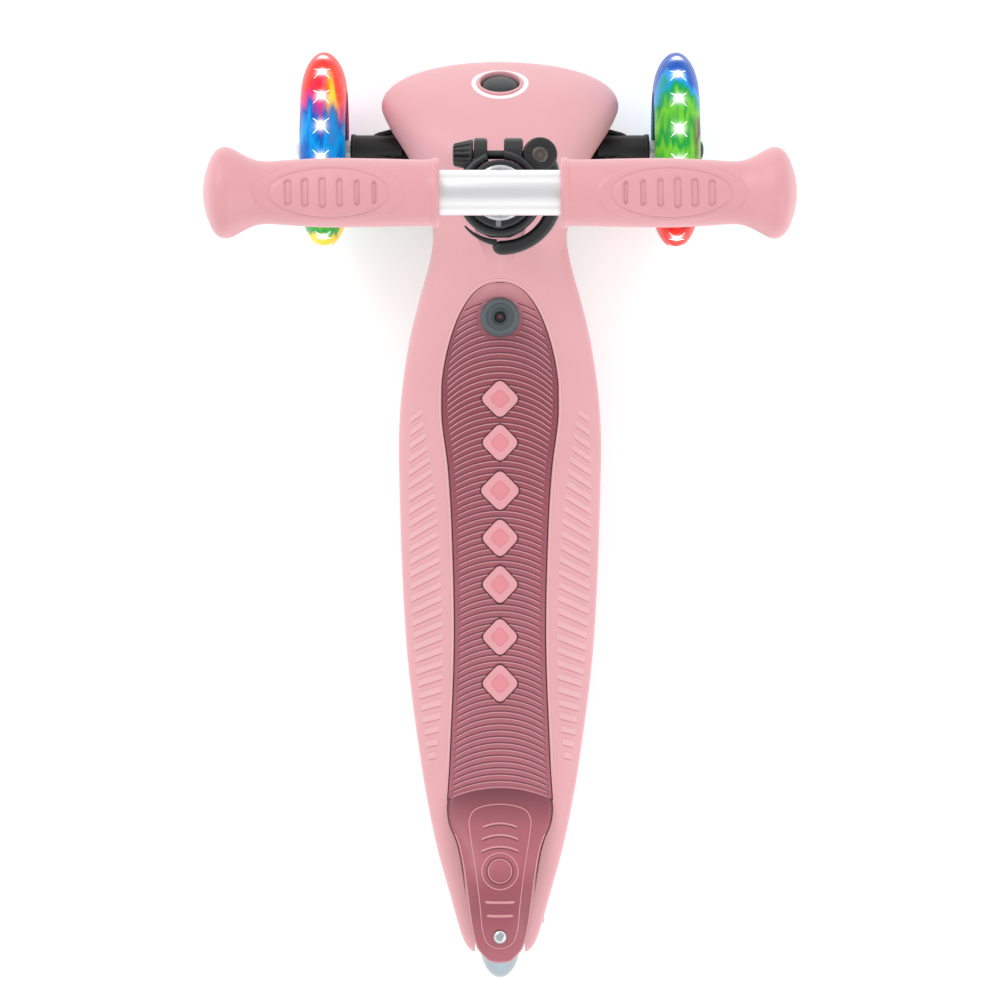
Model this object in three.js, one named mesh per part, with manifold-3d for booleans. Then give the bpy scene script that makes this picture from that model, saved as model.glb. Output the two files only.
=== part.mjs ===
// A folding three-wheeled kick scooter for a small child: two wheels in front that steer when the deck
// leans,
// one wheel behind under a foot brake, and a height-adjustable handlebar that folds back over the deck.
// Millimetres, +Z up, +Y to the front, +X to the rider's right. The origin is on the ground, at the
// middle of the
// scooter's length and width.
import * as THREE from "three";
import { mergeVertices } from "three/addons/utils/BufferGeometryUtils.js";
import Module from "manifold-3d";

const wasm = await Module();
wasm.setup();

// ---------------------------------------------------------------- driving dimensions

const GAP = 0.3; // between pieces that touch
const RUN = 0.3; // radial play of a turning fit

const LENGTH = 572; // over the front and rear tyres
const TRACK = 217; // between the middles of the front tyres
const BAR_HEIGHT = 660; // the crossbar's axis above the ground, at its lowest setting
const BAR_WIDTH = 287; // over the ends of the grips
const BAR_TRAVEL = 100; // how far the handlebar rises, in two steps
const RAKE = THREE.MathUtils.degToRad(6); // how far the column leans back

const FRONT_WHEEL = { radius: 60.5, width: 28, rimRadius: 36, hubHalf: 12 };
const REAR_WHEEL = { radius: 40, width: 24, rimRadius: 22, hubHalf: 10 };
const BEARING = { outer: 11, inner: 4.2, width: 7 };
const AXLE_RADIUS = 3.9;

const DECK_HALF_WIDTH = 62.5; // at the widest place that a foot stands on
const NECK_HALF_WIDTH = 41.3; // between the foot board and the hood
const HOOD_HALF_WIDTH = 73; // at the widest place, between the front wheels
const DECK_OVER_AXLE = 26; // the foot board's top above the rear axle
const DECK_DEPTH = 34; // from the foot board's top to its lowest edge
const HOOD_OVER_PIVOT = 12; // the hood's top above the fold pivot
const HOOD_RIM_DROP = 16.5; // from the front axle down to the hood's lowest edge
const FLOOR_DROP = 19.5; // from the front axle down to the steering frame's base plate
const WALL = 3.2; // side walls of the moulding
const CEILING = 4.8; // thickness under the foot
const RIB = 3; // thickness of the ribs under the deck
const RIB_COUNT = 6;

const MAT_HALF_WIDTH = 35.3; // at its widest, near the front
const MAT_THICKNESS = 2.4;
const MAT_PROUD = 0.8; // how far the mat stands above the deck

const KINGPIN_X = 40; // each kingpin from the middle
const KINGPIN_TILT = THREE.MathUtils.degToRad(25); // the top leans forward, so leaning the deck steers
const STEER_LEVER = 22; // from a kingpin to its tie rod pin
const KINGPIN_RADIUS = 4;
const BOSS_HALF = 9; // half the height of a steering arm's boss

const PIVOT_OVER_AXLE = 45.5; // the fold pivot above the front axle
const HUB_RADIUS = 15; // of the column's base, around the fold pivot
const HUB_HALF = 17.3;
const CHEEK = 4; // thickness of the fold bracket
const PIVOT_PIN_RADIUS = 4;

const LOWER_TUBE = { radius: 16, bore: 14.2, from: 22.3,
  to: 318 }; // along the column, from the fold pivot
const STEM = { radius: 12.5, bore: 11, from: 172 };
const CROSSBAR = { radius: 11, bore: 9.4 };
const GRIP_START = 29.4; // where the grips begin, from the middle
const GRIP_RADIUS = 16.6;
const CLAMP = { from: 299, to: 326, wall: 7 }; // the wall is from the lower tube to the collar's outside
const LEVER_PIVOT_X = 21.4;

const FORK_HALF = 15.5; // half the slot that the rear wheel runs in
const BRAKE_PIVOT_DROP = 6; // from the foot board's top down to the brake's pivot
const BRAKE_THICKNESS = 4;

// ---------------------------------------------------------------- places that follow from them

const PIVOT_HEIGHT = FRONT_WHEEL.radius + PIVOT_OVER_AXLE;
const HOOD_TOP = PIVOT_HEIGHT + HOOD_OVER_PIVOT;
const HOOD_RIM = FRONT_WHEEL.radius - HOOD_RIM_DROP;
const FRAME_FLOOR = FRONT_WHEEL.radius - FLOOR_DROP; // top of the steering frame's base plate
const DECK_TOP = REAR_WHEEL.radius + DECK_OVER_AXLE;
const DECK_RIM = DECK_TOP - DECK_DEPTH;
const BRAKE_PIVOT_HEIGHT = DECK_TOP - BRAKE_PIVOT_DROP;
const clampRadius = LOWER_TUBE.radius + CLAMP.wall;
const clampBoltY = clampRadius - 2.1;
const frontAxleY = LENGTH / 2 - FRONT_WHEEL.radius;
const rearAxleY = -LENGTH / 2 + REAR_WHEEL.radius;
const tailY = rearAxleY - 23;
const noseY = frontAxleY + 57;
const noseStartY = noseY - 31.5;
const pivotY = frontAxleY - 32.5;
const matFrontY = pivotY - 52;
const matRearY = rearAxleY + 78;
const bumperY = pivotY - 73;
const brakePivotY = rearAxleY + 58;
const columnLength = (BAR_HEIGHT - PIVOT_HEIGHT) / Math.cos(RAKE);
const along = (share) => THREE.MathUtils.lerp(rearAxleY, frontAxleY, share);

// ---------------------------------------------------------------- materials

const finish = (color, roughness, metalness = 0) => new THREE.MeshStandardMaterial({ color, roughness,
  metalness });
const PINK = finish(0xecb4b8, 0.45);
const PINK_RUBBER = finish(0xe9a7ad, 0.6);
const RASPBERRY = finish(0xa8606e, 0.55);
const BLACK = finish(0x1d1f21, 0.5);
const GREY_RUBBER = finish(0x56605f, 0.6);
const ALUMINIUM = finish(0xe2e2e3, 0.3, 1);
const STEEL = finish(0xb9bec2, 0.3, 1);
const DARK_STEEL = finish(0x4a4d4e, 0.4, 1);
const TREAD = finish(0x2f8fd0, 0.3);
const CLEAR_TREAD = finish(0xc5d4da, 0.25);

// ---------------------------------------------------------------- geometry helpers

// A closed geometry as a solid for cutting and joining. A profile drawn the other way round is turned
// over.
function solidOf(geometry) {
  const bare = geometry.clone();
  for (const name of Object.keys(bare.attributes)) if (name !== "position") bare.deleteAttribute(name);
  const merged = mergeVertices(bare, 1e-4);
  const vertProperties = merged.attributes.position.array;
  const triVerts = new Uint32Array(merged.index.array);
  const made = new wasm.Manifold(new wasm.Mesh({ numProp: 3, vertProperties, triVerts }));
  if (made.volume() >= 0) return made;
  return new wasm.Manifold(new wasm.Mesh({ numProp: 3, vertProperties, triVerts: triVerts.reverse() }));
}

function geometryOf(solid) {
  const mesh = solid.getMesh();
  const geometry = new THREE.BufferGeometry();
  geometry.setAttribute("position", new THREE.BufferAttribute(mesh.vertProperties, 3));
  geometry.setIndex(new THREE.BufferAttribute(mesh.triVerts, 1));
  geometry.computeVertexNormals();
  return geometry;
}

const join = (...pieces) => geometryOf(pieces.map(solidOf).reduce((a, b) => a.add(b)));
const cut = (piece, ...tools) => geometryOf(tools.map(solidOf).reduce((a, b) => a.subtract(b),
  solidOf(piece)));
const common = (a, b) => geometryOf(solidOf(a).intersect(solidOf(b)));

function box(x0, x1, y0, y1, z0, z1) {
  return new THREE.BoxGeometry(x1 - x0, y1 - y0, z1 - z0).translate((x0 + x1) / 2, (y0 + y1) / 2,
    (z0 + z1) / 2);
}

// A round bar along x, y or z, from one place on that axis to another; centre gives the other two.
function rod(axis, radius, from, to, centre = [0, 0, 0], sides = 20, endRadius = radius) {
  const bar = new THREE.CylinderGeometry(endRadius, radius, to - from, sides).translate(0,
    (from + to) / 2, 0);
  if (axis === "x") bar.rotateZ(-Math.PI / 2);
  if (axis === "z") bar.rotateX(Math.PI / 2);
  return bar.translate(...centre);
}

// A body of revolution about x or z, from a closed outline of [radius, place along the axis].
function spun(axis, outline, sides = 24) {
  const turned = outline.map(([r, a]) => new THREE.Vector2(r, a));
  if (THREE.ShapeUtils.area(turned) < 0) turned.reverse();
  const points = [...turned, turned[0]];
  const body = new THREE.LatheGeometry(points, sides);
  return axis === "x" ? body.rotateZ(-Math.PI / 2) : body.rotateX(Math.PI / 2);
}

const ring = (axis, outer, inner, from, to, sides) =>
  spun(axis, [[inner, from], [outer, from], [outer, to], [inner, to]], sides);

// A flat outline of [first, second] points, made thick along x (outline in y, z) or z (outline in x, y).
function slab(axis, outline, from, to) {
  const shape = new THREE.Shape(outline.map(([a, b]) => new THREE.Vector2(a, b)));
  const plate = new THREE.ExtrudeGeometry(shape, { depth: to - from, bevelEnabled: false }).translate(0,
    0, from);
  if (axis === "z") return plate;
  const [x, y, z] = [new THREE.Vector3(1, 0, 0), new THREE.Vector3(0, 1, 0), new THREE.Vector3(0, 0, 1)];
  return plate.applyMatrix4(new THREE.Matrix4().makeBasis(y, z, x));
}

// A wire wound round the x axis, such as a spring.
function coil(radius, wire, from, to, turns) {
  class Helix extends THREE.Curve {
    getPoint(t, target = new THREE.Vector3()) {
      const angle = t * turns * 2 * Math.PI;
      return target.set(from + (to - from) * t, radius * Math.cos(angle), radius * Math.sin(angle));
    }
  }
  const section = new THREE.Shape(arc(0, 0, wire / 2, 0, 270, 3).map(([a, b]) => new THREE.Vector2(a, b)));
  return new THREE.ExtrudeGeometry(section, { steps: turns * 7, extrudePath: new Helix() });
}

// Points on an arc, angles in degrees.
function arc(x, y, radius, start, end, steps) {
  return Array.from({ length: steps + 1 }, (_, i) => {
    const angle = THREE.MathUtils.degToRad(start + ((end - start) * i) / steps);
    return [x + radius * Math.cos(angle), y + radius * Math.sin(angle)];
  });
}

// A skin over rings of points that all have the same count, closed at both ends.
function loft(rings) {
  const count = rings[0].length;
  const index = [];
  for (let i = 0; i + 1 < rings.length; i++)
    for (let j = 0; j < count; j++) {
      const [a, b] = [i * count + j, i * count + ((j + 1) % count)];
      index.push(a, b, b + count, a, b + count, a + count);
    }
  const positions = rings.flat(2);
  const middle = (ring) => ring.reduce((sum, p) => sum.map((v, k) => v + p[k] / count), [0, 0, 0]);
  positions.push(...middle(rings[0]), ...middle(rings.at(-1)));
  const [first, last, end] = [rings.length * count, rings.length * count + 1, (rings.length - 1) * count];
  for (let j = 0; j < count; j++) {
    const next = (j + 1) % count;
    index.push(first, next, j, last, end + j, end + next);
  }
  const geometry = new THREE.BufferGeometry().setIndex(index);
  return geometry.setAttribute("position", new THREE.Float32BufferAttribute(positions, 3));
}

// A smooth function through points [place, value], flat beyond its ends.
function smooth(points) {
  const slope = (i) => {
    const [a, b] = [points[Math.max(i - 1, 0)], points[Math.min(i + 1, points.length - 1)]];
    return (b[1] - a[1]) / (b[0] - a[0]);
  };
  return (place) => {
    const after = points.findIndex((p) => p[0] > place);
    const i = after < 0 ? points.length - 2 : Math.max(after - 1, 0);
    const [[x0, y0], [x1, y1]] = [points[i], points[i + 1]];
    const t = THREE.MathUtils.clamp((place - x0) / (x1 - x0), 0, 1);
    const [m0, m1] = [slope(i) * (x1 - x0), slope(i + 1) * (x1 - x0)];
    const [t2, t3] = [t * t, t * t * t];
    return (2 * t3 - 3 * t2 + 1) * y0 + (t3 - 2 * t2 + t) * m0 + (3 * t2 - 2 * t3) * y1 + (t3 - t2) * m1;
  };
}

const steps = (from, to, count) => Array.from({ length: count },
  (_, i) => from + ((to - from) * i) / count);

function add(group, name, material, geometry) {
  const mesh = new THREE.Mesh(geometry, material);
  mesh.name = name;
  group.add(mesh);
}

// ---------------------------------------------------------------- the deck's outer form

// Half the width seen from above. The nose is half an ellipse.
const plan = smooth([
  [tailY, 17.2],
  [tailY + 2.5, 19.8],
  [tailY + 6, 22],
  [tailY + 11, 24],
  [rearAxleY + 9, 30],
  [rearAxleY + 46, 40],
  [rearAxleY + 95, DECK_HALF_WIDTH - 13.5],
  [along(0.358), DECK_HALF_WIDTH - 4.5],
  [along(0.592), DECK_HALF_WIDTH],
  [along(0.67), DECK_HALF_WIDTH - 1.2],
  [frontAxleY - 118.5, DECK_HALF_WIDTH - 6.5],
  [frontAxleY - 93.7, NECK_HALF_WIDTH + 8.6],
  [frontAxleY - 69, NECK_HALF_WIDTH + 1.8],
  [frontAxleY - 52.9, NECK_HALF_WIDTH],
  [frontAxleY - 32.5, NECK_HALF_WIDTH + 4],
  [frontAxleY - 10.5, HOOD_HALF_WIDTH - 18.7],
  [frontAxleY + 11.1, HOOD_HALF_WIDTH - 5.5],
  [frontAxleY + 20.5, HOOD_HALF_WIDTH - 0.7],
  [noseStartY, HOOD_HALF_WIDTH],
]);
const noseShare = (y) => THREE.MathUtils.clamp((y - noseStartY) / (noseY - noseStartY), 0, 1);
const halfWidth = (y) => plan(y) * Math.sqrt(1 - noseShare(y) ** 2.2);

// Height of the middle of the top. From the hood's top it falls in a steep curve to the nose.
const hoodTopY = frontAxleY - 10.5;
const spine = smooth([
  [tailY, DECK_TOP - 8],
  [rearAxleY + 9, DECK_TOP - 3],
  [rearAxleY + 46, DECK_TOP - 0.5],
  [matRearY, DECK_TOP],
  [along(0.358), DECK_TOP - 0.5],
  [along(0.522), DECK_TOP],
  [along(0.61), DECK_TOP + 1.2],
  [frontAxleY - 155.5, DECK_TOP + 3.5],
  [frontAxleY - 130.5, DECK_TOP + 8.5],
  [frontAxleY - 105.5, DECK_TOP + 16],
  [frontAxleY - 84.5, DECK_TOP + 21.5],
  [frontAxleY - 62.5, DECK_TOP + 27.5],
  [frontAxleY - 47.5, HOOD_TOP - 15],
  [frontAxleY - 32.5, HOOD_TOP - 7],
  [frontAxleY - 20.5, HOOD_TOP - 2],
  [hoodTopY, HOOD_TOP],
]);
const NOSE_RISE = 1.7;
const NOSE_FALL = 1.5;
function crown(y) {
  if (y <= hoodTopY) return spine(y);
  const share = Math.min((y - hoodTopY) / (noseY - hoodTopY), 1);
  return HOOD_RIM + (HOOD_TOP - HOOD_RIM) * (1 - share ** NOSE_RISE) ** (1 / NOSE_FALL);
}

const rim = smooth([
  [tailY, DECK_RIM],
  [rearAxleY + 30, DECK_RIM - 2],
  [along(0.2), DECK_RIM],
  [frontAxleY - 118.5, DECK_RIM],
  [frontAxleY - 52.9, DECK_RIM + 10],
  [frontAxleY - 10.5, HOOD_RIM + 6],
  [frontAxleY + 20.5, HOOD_RIM + 6],
  [noseY, HOOD_RIM - 4],
]);
// How boxy a cross-section is, and how high up its widest place lies between rim and crown.
const squareness = smooth([[tailY, 3.4], [along(0.6), 4.2], [frontAxleY - 80, 3.2], [frontAxleY, 2.35],
  [noseY, 2.2]]);
const shoulderShare = smooth([[tailY, 0.6], [along(0.6), 0.6], [frontAxleY, 0.45], [noseY, 0.4]]);
const shoulder = (y) => rim(y) + shoulderShare(y) * Math.max(crown(y) - rim(y), 2);
const SIDE_TAPER = 0.93; // the rim's width over the widest

// Height of the deck's top at a place.
function topAt(x, y) {
  const n = squareness(y);
  const share = Math.max(1 - Math.abs(x / halfWidth(y)) ** n, 0);
  return shoulder(y) + (crown(y) - shoulder(y)) * share ** (1 / n);
}

// One cross-section of the deck, taken in by inset at the sides and drop at the top, down to a low edge.
function deckSection(y, { inset = 0, drop = 0, below = 0, half = 6 } = {}) {
  const n = squareness(y);
  const [width, low, base] = [halfWidth(y) - inset, rim(y) - below, shoulder(y)];
  const height = crown(y) - drop - base;
  const top = [];
  for (let i = 0; i <= 2 * half; i++) {
    const angle = (Math.PI * i) / (2 * half);
    const [c, s] = [Math.cos(angle), Math.sin(angle)];
    top.push([width * Math.sign(c) * Math.abs(c) ** (2 / n), y, base + height * Math.abs(s) ** (2 / n)]);
  }
  return [...top, [-width * SIDE_TAPER, y, low], [width * SIDE_TAPER, y, low]];
}

const deckStations = [
  tailY, tailY + 2.5, tailY + 6,
  ...steps(tailY + 11, matRearY, 6),
  ...steps(matRearY, frontAxleY - 155.5, 9),
  ...steps(frontAxleY - 155.5, noseStartY, 14),
  ...[0, 0.3, 0.55, 0.75, 0.89, 0.97, 0.995].map((s) => noseStartY + (noseY - noseStartY) * s),
];

// The cavity under the deck, without the ribs, the fold bracket's pocket and the solid blocks that hold
// fasteners.
const PROPS = {
  bumper: { radius: 14.5, y: bumperY },
  frame: { radius: 5.2, places: [[26, frontAxleY - 57]] },
};
const slot = {
  half: HUB_HALF + GAP + CHEEK + GAP, rear: pivotY - HUB_RADIUS - 9.5, front: pivotY + HUB_RADIUS + 2,
  floor: PIVOT_HEIGHT - HUB_RADIUS - 6.5,
};
const POCKET_WALL = 2.6;
// The pocket seen from above narrows towards the rear, so the clamp hides it.
const pocketOutline = (gap) => {
  const [half, corner] = [slot.half - gap, pivotY - HUB_RADIUS + 2 + gap];
  const right = [[half, slot.front], [half, corner], [14 - gap, corner - 8], [6, slot.rear + gap]];
  return [...right, ...right.map(([x, y]) => [-x, y]).reverse()];
};

function deckCavity() {
  const stations = [
    ...steps(rearAxleY + 16, frontAxleY - 155.5, 6), ...steps(frontAxleY - 155.5, noseY - 8, 10),
    noseY - 8,
  ];
  const fall = (y) => Math.min(Math.hypot(1, crown(y - 0.5) - crown(y + 0.5)), 2.2);
  const sections = stations.map((y) => deckSection(y, { inset: WALL, drop: CEILING * fall(y), below: 6,
    half: 3 }));
  const [ribFrom, ribTo] = [matRearY + 26, frontAxleY - 96];
  const ribs = steps(ribFrom, ribTo, RIB_COUNT).map((y) => box(-80, 80, y, y + RIB, DECK_RIM + 3,
    HOOD_TOP));
  const blocks = [
    box(-RIB / 2, RIB / 2, matRearY - 4, frontAxleY - 92, DECK_RIM + 3, HOOD_TOP),
    box(-19, 19, tailY, matRearY - 4, 0, HOOD_TOP),
    box(-80, 80, matRearY - 18, matRearY + 1, DECK_TOP - 9, HOOD_TOP),
    rod("z", PROPS.bumper.radius, DECK_RIM + 3, HOOD_TOP, [0, PROPS.bumper.y, 0], 16),
    box(-slot.half - POCKET_WALL, slot.half + POCKET_WALL, slot.rear - POCKET_WALL,
    slot.front + POCKET_WALL,
      slot.floor - POCKET_WALL, HOOD_TOP + 9),
    ...PROPS.frame.places.flatMap(([x, y]) =>
      [-x, x].map((side) => rod("z", PROPS.frame.radius, FRAME_FLOOR + GAP, HOOD_TOP, [side, y, 0], 12)),
    ),
  ];
  return cut(loft(sections), ...ribs, ...blocks);
}

// Half the mat's width: a pointed front, widest over the front foot, narrow in the middle.
const matPlan = smooth([
  [matRearY - 7, MAT_HALF_WIDTH - 3.5],
  [matRearY + 20, MAT_HALF_WIDTH - 5.2],
  [along(0.358), MAT_HALF_WIDTH - 7.7],
  [along(0.5), MAT_HALF_WIDTH - 6.3],
  [along(0.582), MAT_HALF_WIDTH - 3.9],
  [along(0.645), MAT_HALF_WIDTH - 0.2],
  [matFrontY - 63, MAT_HALF_WIDTH],
]);
const MAT_NOSE = 63; // length of the mat's rounded front
function matHalfWidth(y) {
  const share = Math.max((y - (matFrontY - MAT_NOSE)) / MAT_NOSE, 0);
  return share > 0 ? MAT_HALF_WIDTH * (1 - share ** 1.45) ** 0.42 : matPlan(y);
}

// The mat's body between two offsets from the deck's top, grown sideways. The rear edge bows forward.
const MAT_BOW = 7;
function matBody(low, high, grow) {
  const places = [
    ...steps(matRearY - MAT_BOW, matFrontY - MAT_NOSE, 11),
    ...[0, 0.2, 0.38, 0.55, 0.7, 0.82, 0.91, 0.97, 0.995].map((s) => matFrontY - MAT_NOSE + s * MAT_NOSE),
  ];
  const across = [-1, -0.6, -0.2, 0.2, 0.6, 1];
  const rings = places.map((y, i) => {
    const half = matHalfWidth(y) + grow;
    const edge = (i === 0 ? -grow : 0) + (i === places.length - 1 ? grow : 0);
    const row = (offset) => across.map((s) => [s * half, y + edge, topAt(s * half, y) + offset]);
    return [...row(low), ...row(high).reverse()];
  });
  return loft(rings);
}
// What the mat's rear edge leaves to the brake: a round-fronted block.
const brakeBow = (grow) => rod("z", 75 + grow, 0, 200, [0, matRearY - 75, 0], 64);

// ---------------------------------------------------------------- the deck and what is fixed to it

// A place on the nose for the fold button, and the slope of the hood there.
const buttonY = frontAxleY + 38.7;
const buttonSlope = Math.atan((crown(buttonY - 1) - crown(buttonY + 1)) / 2);
const BUTTON_RADIUS = 11.8;
const facingNose = (geometry) => geometry.rotateX(-buttonSlope).translate(0, buttonY, crown(buttonY));
const BUMPER = { radius: 12, top: PIVOT_HEIGHT - LOWER_TUBE.radius + 1, floor: crown(bumperY) - 6 };

function deck() {
  const tunnelTop = FRONT_WHEEL.radius + 18.5;
  const armTunnel = slab("x", [
    [frontAxleY - 24, 0], [frontAxleY + 25, 0], [frontAxleY + 25, tunnelTop - 6],
    [frontAxleY + 20, tunnelTop],
    [frontAxleY - 19, tunnelTop], [frontAxleY - 24, tunnelTop - 5],
  ], -90, 90);
  const keepHoodMiddle = box(-30, 30, frontAxleY - 40, frontAxleY + 40, 0, 200);
  const pocket = slab("z", pocketOutline(0), slot.floor, HOOD_TOP + 20);
  const latchWindow = box(-slot.half, slot.half, slot.front - 5, slot.front + 8, slot.floor,
    HOOD_TOP - 6.5);
  const forkBosses = rod("x", 7, -FORK_HALF - 1, FORK_HALF + 1, [0, rearAxleY, REAR_WHEEL.radius], 16);
  const wheelWay = box(-REAR_WHEEL.hubHalf - GAP, REAR_WHEEL.hubHalf + GAP, tailY - 20, rearAxleY + 46,
    0, 120);
  const forkSlot = join(
    cut(box(-FORK_HALF, FORK_HALF, tailY - 20, rearAxleY + 46, 0, 120), forkBosses), wheelWay,
  );
  const brakePocket = box(-17, 17, rearAxleY + 44, brakePivotY + 9, BRAKE_PIVOT_HEIGHT - 9, HOOD_TOP);
  const brakePinHole = rod("x", 2.7, -26, 26, [0, brakePivotY, BRAKE_PIVOT_HEIGHT], 12);
  const axleHole = rod("x", AXLE_RADIUS + RUN, -60, 60, [0, rearAxleY, REAR_WHEEL.radius], 16);
  const headSeats = [-1, 1].map((side) =>
    rod("x", 7.6, Math.min(side * 23.2, side * 60), Math.max(side * 23.2, side * 60),
      [0, rearAxleY, REAR_WHEEL.radius], 16));
  const pinWindow = rod("x", 8, -slot.half - 5, slot.half + 5, [0, pivotY, PIVOT_HEIGHT], 16);
  const buttonHole = facingNose(rod("z", BUTTON_RADIUS + RUN, -12, 12, [0, 0, 0], 24));
  const brakeSeat = common(brakeOutline(1.2), box(-80, 80, tailY - 30, matRearY + 5, DECK_TOP - 3.8, 120));
  const screwHoles = PROPS.frame.places.flatMap(([x, y]) =>
    [-x, x].map((side) => rod("z", 2.2, 20, FRAME_FLOOR + 14, [side, y, 0], 10)));
  // The folded column lies in a shallow trough between the bumper and the pocket.
  const trough = rod("y", LOWER_TUBE.radius + 1.3, BUMPER.radius + bumperY, pivotY - 12,
    [0, 0, PIVOT_HEIGHT], 28);
  const bracketScrewHole = rod("z", 2.7, slot.floor - 12, slot.floor + 1, [0, pivotY - 18, 0], 10);
  const bumperSeat = rod("z", BUMPER.radius + GAP, BUMPER.floor - GAP, 120, [0, bumperY, 0], 24);
  const bumperScrewHole = rod("z", 2.7, BUMPER.floor - 20, 100, [0, bumperY, 0], 10);
  return cut(
    loft(deckStations.map((y) => deckSection(y))), deckCavity(), cut(armTunnel, keepHoodMiddle), pocket,
    latchWindow,
    forkSlot, brakePocket, brakePinHole, axleHole, ...headSeats, pinWindow, buttonHole, brakeSeat,
    ...screwHoles,
    cut(matBody(MAT_PROUD - MAT_THICKNESS - GAP, 12, GAP), brakeBow(0)), bumperSeat, bumperScrewHole,
    bracketScrewHole, trough,
  );
}

function mat() {
  const bumperHole = rod("z", BUMPER.radius + 0.5, 40, 120, [0, bumperY, 0], 24);
  return cut(matBody(MAT_PROUD - MAT_THICKNESS, MAT_PROUD, 0), bumperHole, brakeBow(GAP));
}

function bumper() {
  const { radius, floor, top } = BUMPER;
  return spun("z", [
    [2.8, floor], [radius, floor], [radius, top - 1.5], [radius - 1.2, top], [radius - 4, top],
    [radius - 4.6, top - 1.2], [5.2, top - 1.2], [5.2, top - 4.5], [2.8, top - 4.5],
  ], 20).translate(0, bumperY, 0);
}

function bumperScrew() {
  const seat = BUMPER.top - 4.5 + GAP;
  const head = rod("z", 4.6, seat, seat + 3.2, [0, bumperY, 0], 16);
  const shank = rod("z", 2.4, BUMPER.floor - 16, seat + 1, [0, bumperY, 0], 10);
  return cut(join(head, shank), rod("z", 2.2, seat + 1, seat + 4, [0, bumperY, 0], 6));
}

// A black moulding that closes the hood from below and holds both kingpins between two leaning plates.
const plateFrom = BOSS_HALF + GAP;
const plateTo = plateFrom + 3.5;
const springY = STEER_LEVER + 12; // the centring springs' axis, in the leaning frame
const SPRING_SEAT = 24; // where the springs bear, from the middle
const leaning = (geometry) => geometry.rotateX(-KINGPIN_TILT).translate(0, frontAxleY, FRONT_WHEEL.radius);

function steeringFrame() {
  const plate = (from, to) =>
    join(box(-KINGPIN_X, KINGPIN_X, -12, 12, from, to),
      ...[-1, 1].map((side) => rod("z", 12, from, to, [side * KINGPIN_X, 0, 0], 20)));
  const ears = [-1, 1].map((side) =>
    box(Math.min(side * SPRING_SEAT, side * (SPRING_SEAT + 5)), Math.max(side * SPRING_SEAT,
    side * (SPRING_SEAT + 5)),
      springY - 5.2, springY + 6, -4, plateTo));
  const shelf = box(-SPRING_SEAT - 5, SPRING_SEAT + 5, 8, springY + 6, plateFrom, plateTo);
  const web = box(-10, 10, -13, 13, -plateTo, plateTo);
  const bores = [-1, 1].map((side) =>
    rod("z", KINGPIN_RADIUS + GAP, -30, 30, [side * KINGPIN_X, 0, 0], 14));
  const head = leaning(cut(join(plate(plateFrom, plateTo), plate(-plateTo, -plateFrom), web, shelf,
    ...ears), ...bores));
  const [front, rear] = [frontAxleY + 37, frontAxleY - 64];
  const cover = slab("z", [
    [-24, rear], [24, rear], [34, rear + 8], [36, frontAxleY - 20], [36, frontAxleY + 16],
    [32, front - 5], [24, front],
    [-24, front], [-32, front - 5], [-36, frontAxleY + 16], [-36, frontAxleY - 20], [-34, rear + 8],
  ], FRAME_FLOOR - 3, FRAME_FLOOR);
  const post = box(-10, 10, frontAxleY - 17, frontAxleY + 2, FRAME_FLOOR - 1, FRONT_WHEEL.radius - 8);
  const holes = PROPS.frame.places.flatMap(([x, y]) => [-x, x].map((side) => rod("z", 2.2, 20, 60,
    [side, y, 0], 10)));
  return cut(join(head, cover, post), ...holes);
}

function frameScrew(x, y) {
  const under = FRAME_FLOOR - 3 - GAP;
  return join(rod("z", 4, under - 2.2, under, [x, y, 0], 12, 4),
    rod("z", 1.9, under - 1, FRAME_FLOOR + 12, [x, y, 0], 8));
}

// The steel bracket that carries the fold pivot, the latch and its pin.
const LATCH = { y: pivotY + HUB_RADIUS + 10, z: PIVOT_HEIGHT - 14 };
const BRACKET_FLOOR = 2.4;
function foldBracket() {
  const [inner, outer] = [HUB_HALF + GAP, HUB_HALF + GAP + CHEEK];
  const base = slot.floor + GAP;
  const cheekOutline = [
    [pivotY - 12.4, base], [LATCH.y + 3, base], [LATCH.y + 5.5, LATCH.z - 3], [LATCH.y + 5, LATCH.z + 4],
    [pivotY + 15, PIVOT_HEIGHT + 4],
    ...arc(pivotY, PIVOT_HEIGHT, 12, 20, 160, 8),
    [pivotY - 12.4, PIVOT_HEIGHT - 4],
  ];
  const plate = slab("z", pocketOutline(GAP), base, base + BRACKET_FLOOR);
  const floor = common(plate, box(-outer, outer, slot.rear, pivotY + 12, base, base + BRACKET_FLOOR));
  const holes = [
    rod("x", PIVOT_PIN_RADIUS + 0.2, -40, 40, [0, pivotY, PIVOT_HEIGHT], 16),
    rod("x", 2.5, -40, 40, [0, LATCH.y, LATCH.z], 12),
    rod("z", 2.7, 50, 120, [0, pivotY - 18, 0], 10),
  ];
  return cut(join(slab("x", cheekOutline, inner, outer), slab("x", cheekOutline, -outer, -inner),
    floor), ...holes);
}

function bracketScrew() {
  const seat = slot.floor + GAP + BRACKET_FLOOR + GAP;
  const centre = [0, pivotY - 18, 0];
  return join(rod("z", 4.6, seat, seat + 1.6, centre, 16, 3.8), rod("z", 2.4, slot.floor - 8, seat + 1,
    centre, 10));
}

function pivotPin() {
  const end = slot.half - GAP;
  const centre = [0, pivotY, PIVOT_HEIGHT];
  return join(rod("x", PIVOT_PIN_RADIUS, -end - 1, end + 4.4, centre, 16), rod("x", 7, -end - 3, -end,
    centre, 20));
}
const nut = (bore, across, from, to) => cut(rod("x", across, from, to, [0, 0, 0], 6),
  rod("x", bore, from - 1, to + 1));

// ---------------------------------------------------------------- fold latch and button

const BUTTON_TRAVEL = 4;
const BUTTON_ROD = 17; // from the cap's face to the end of the rod behind it
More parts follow.
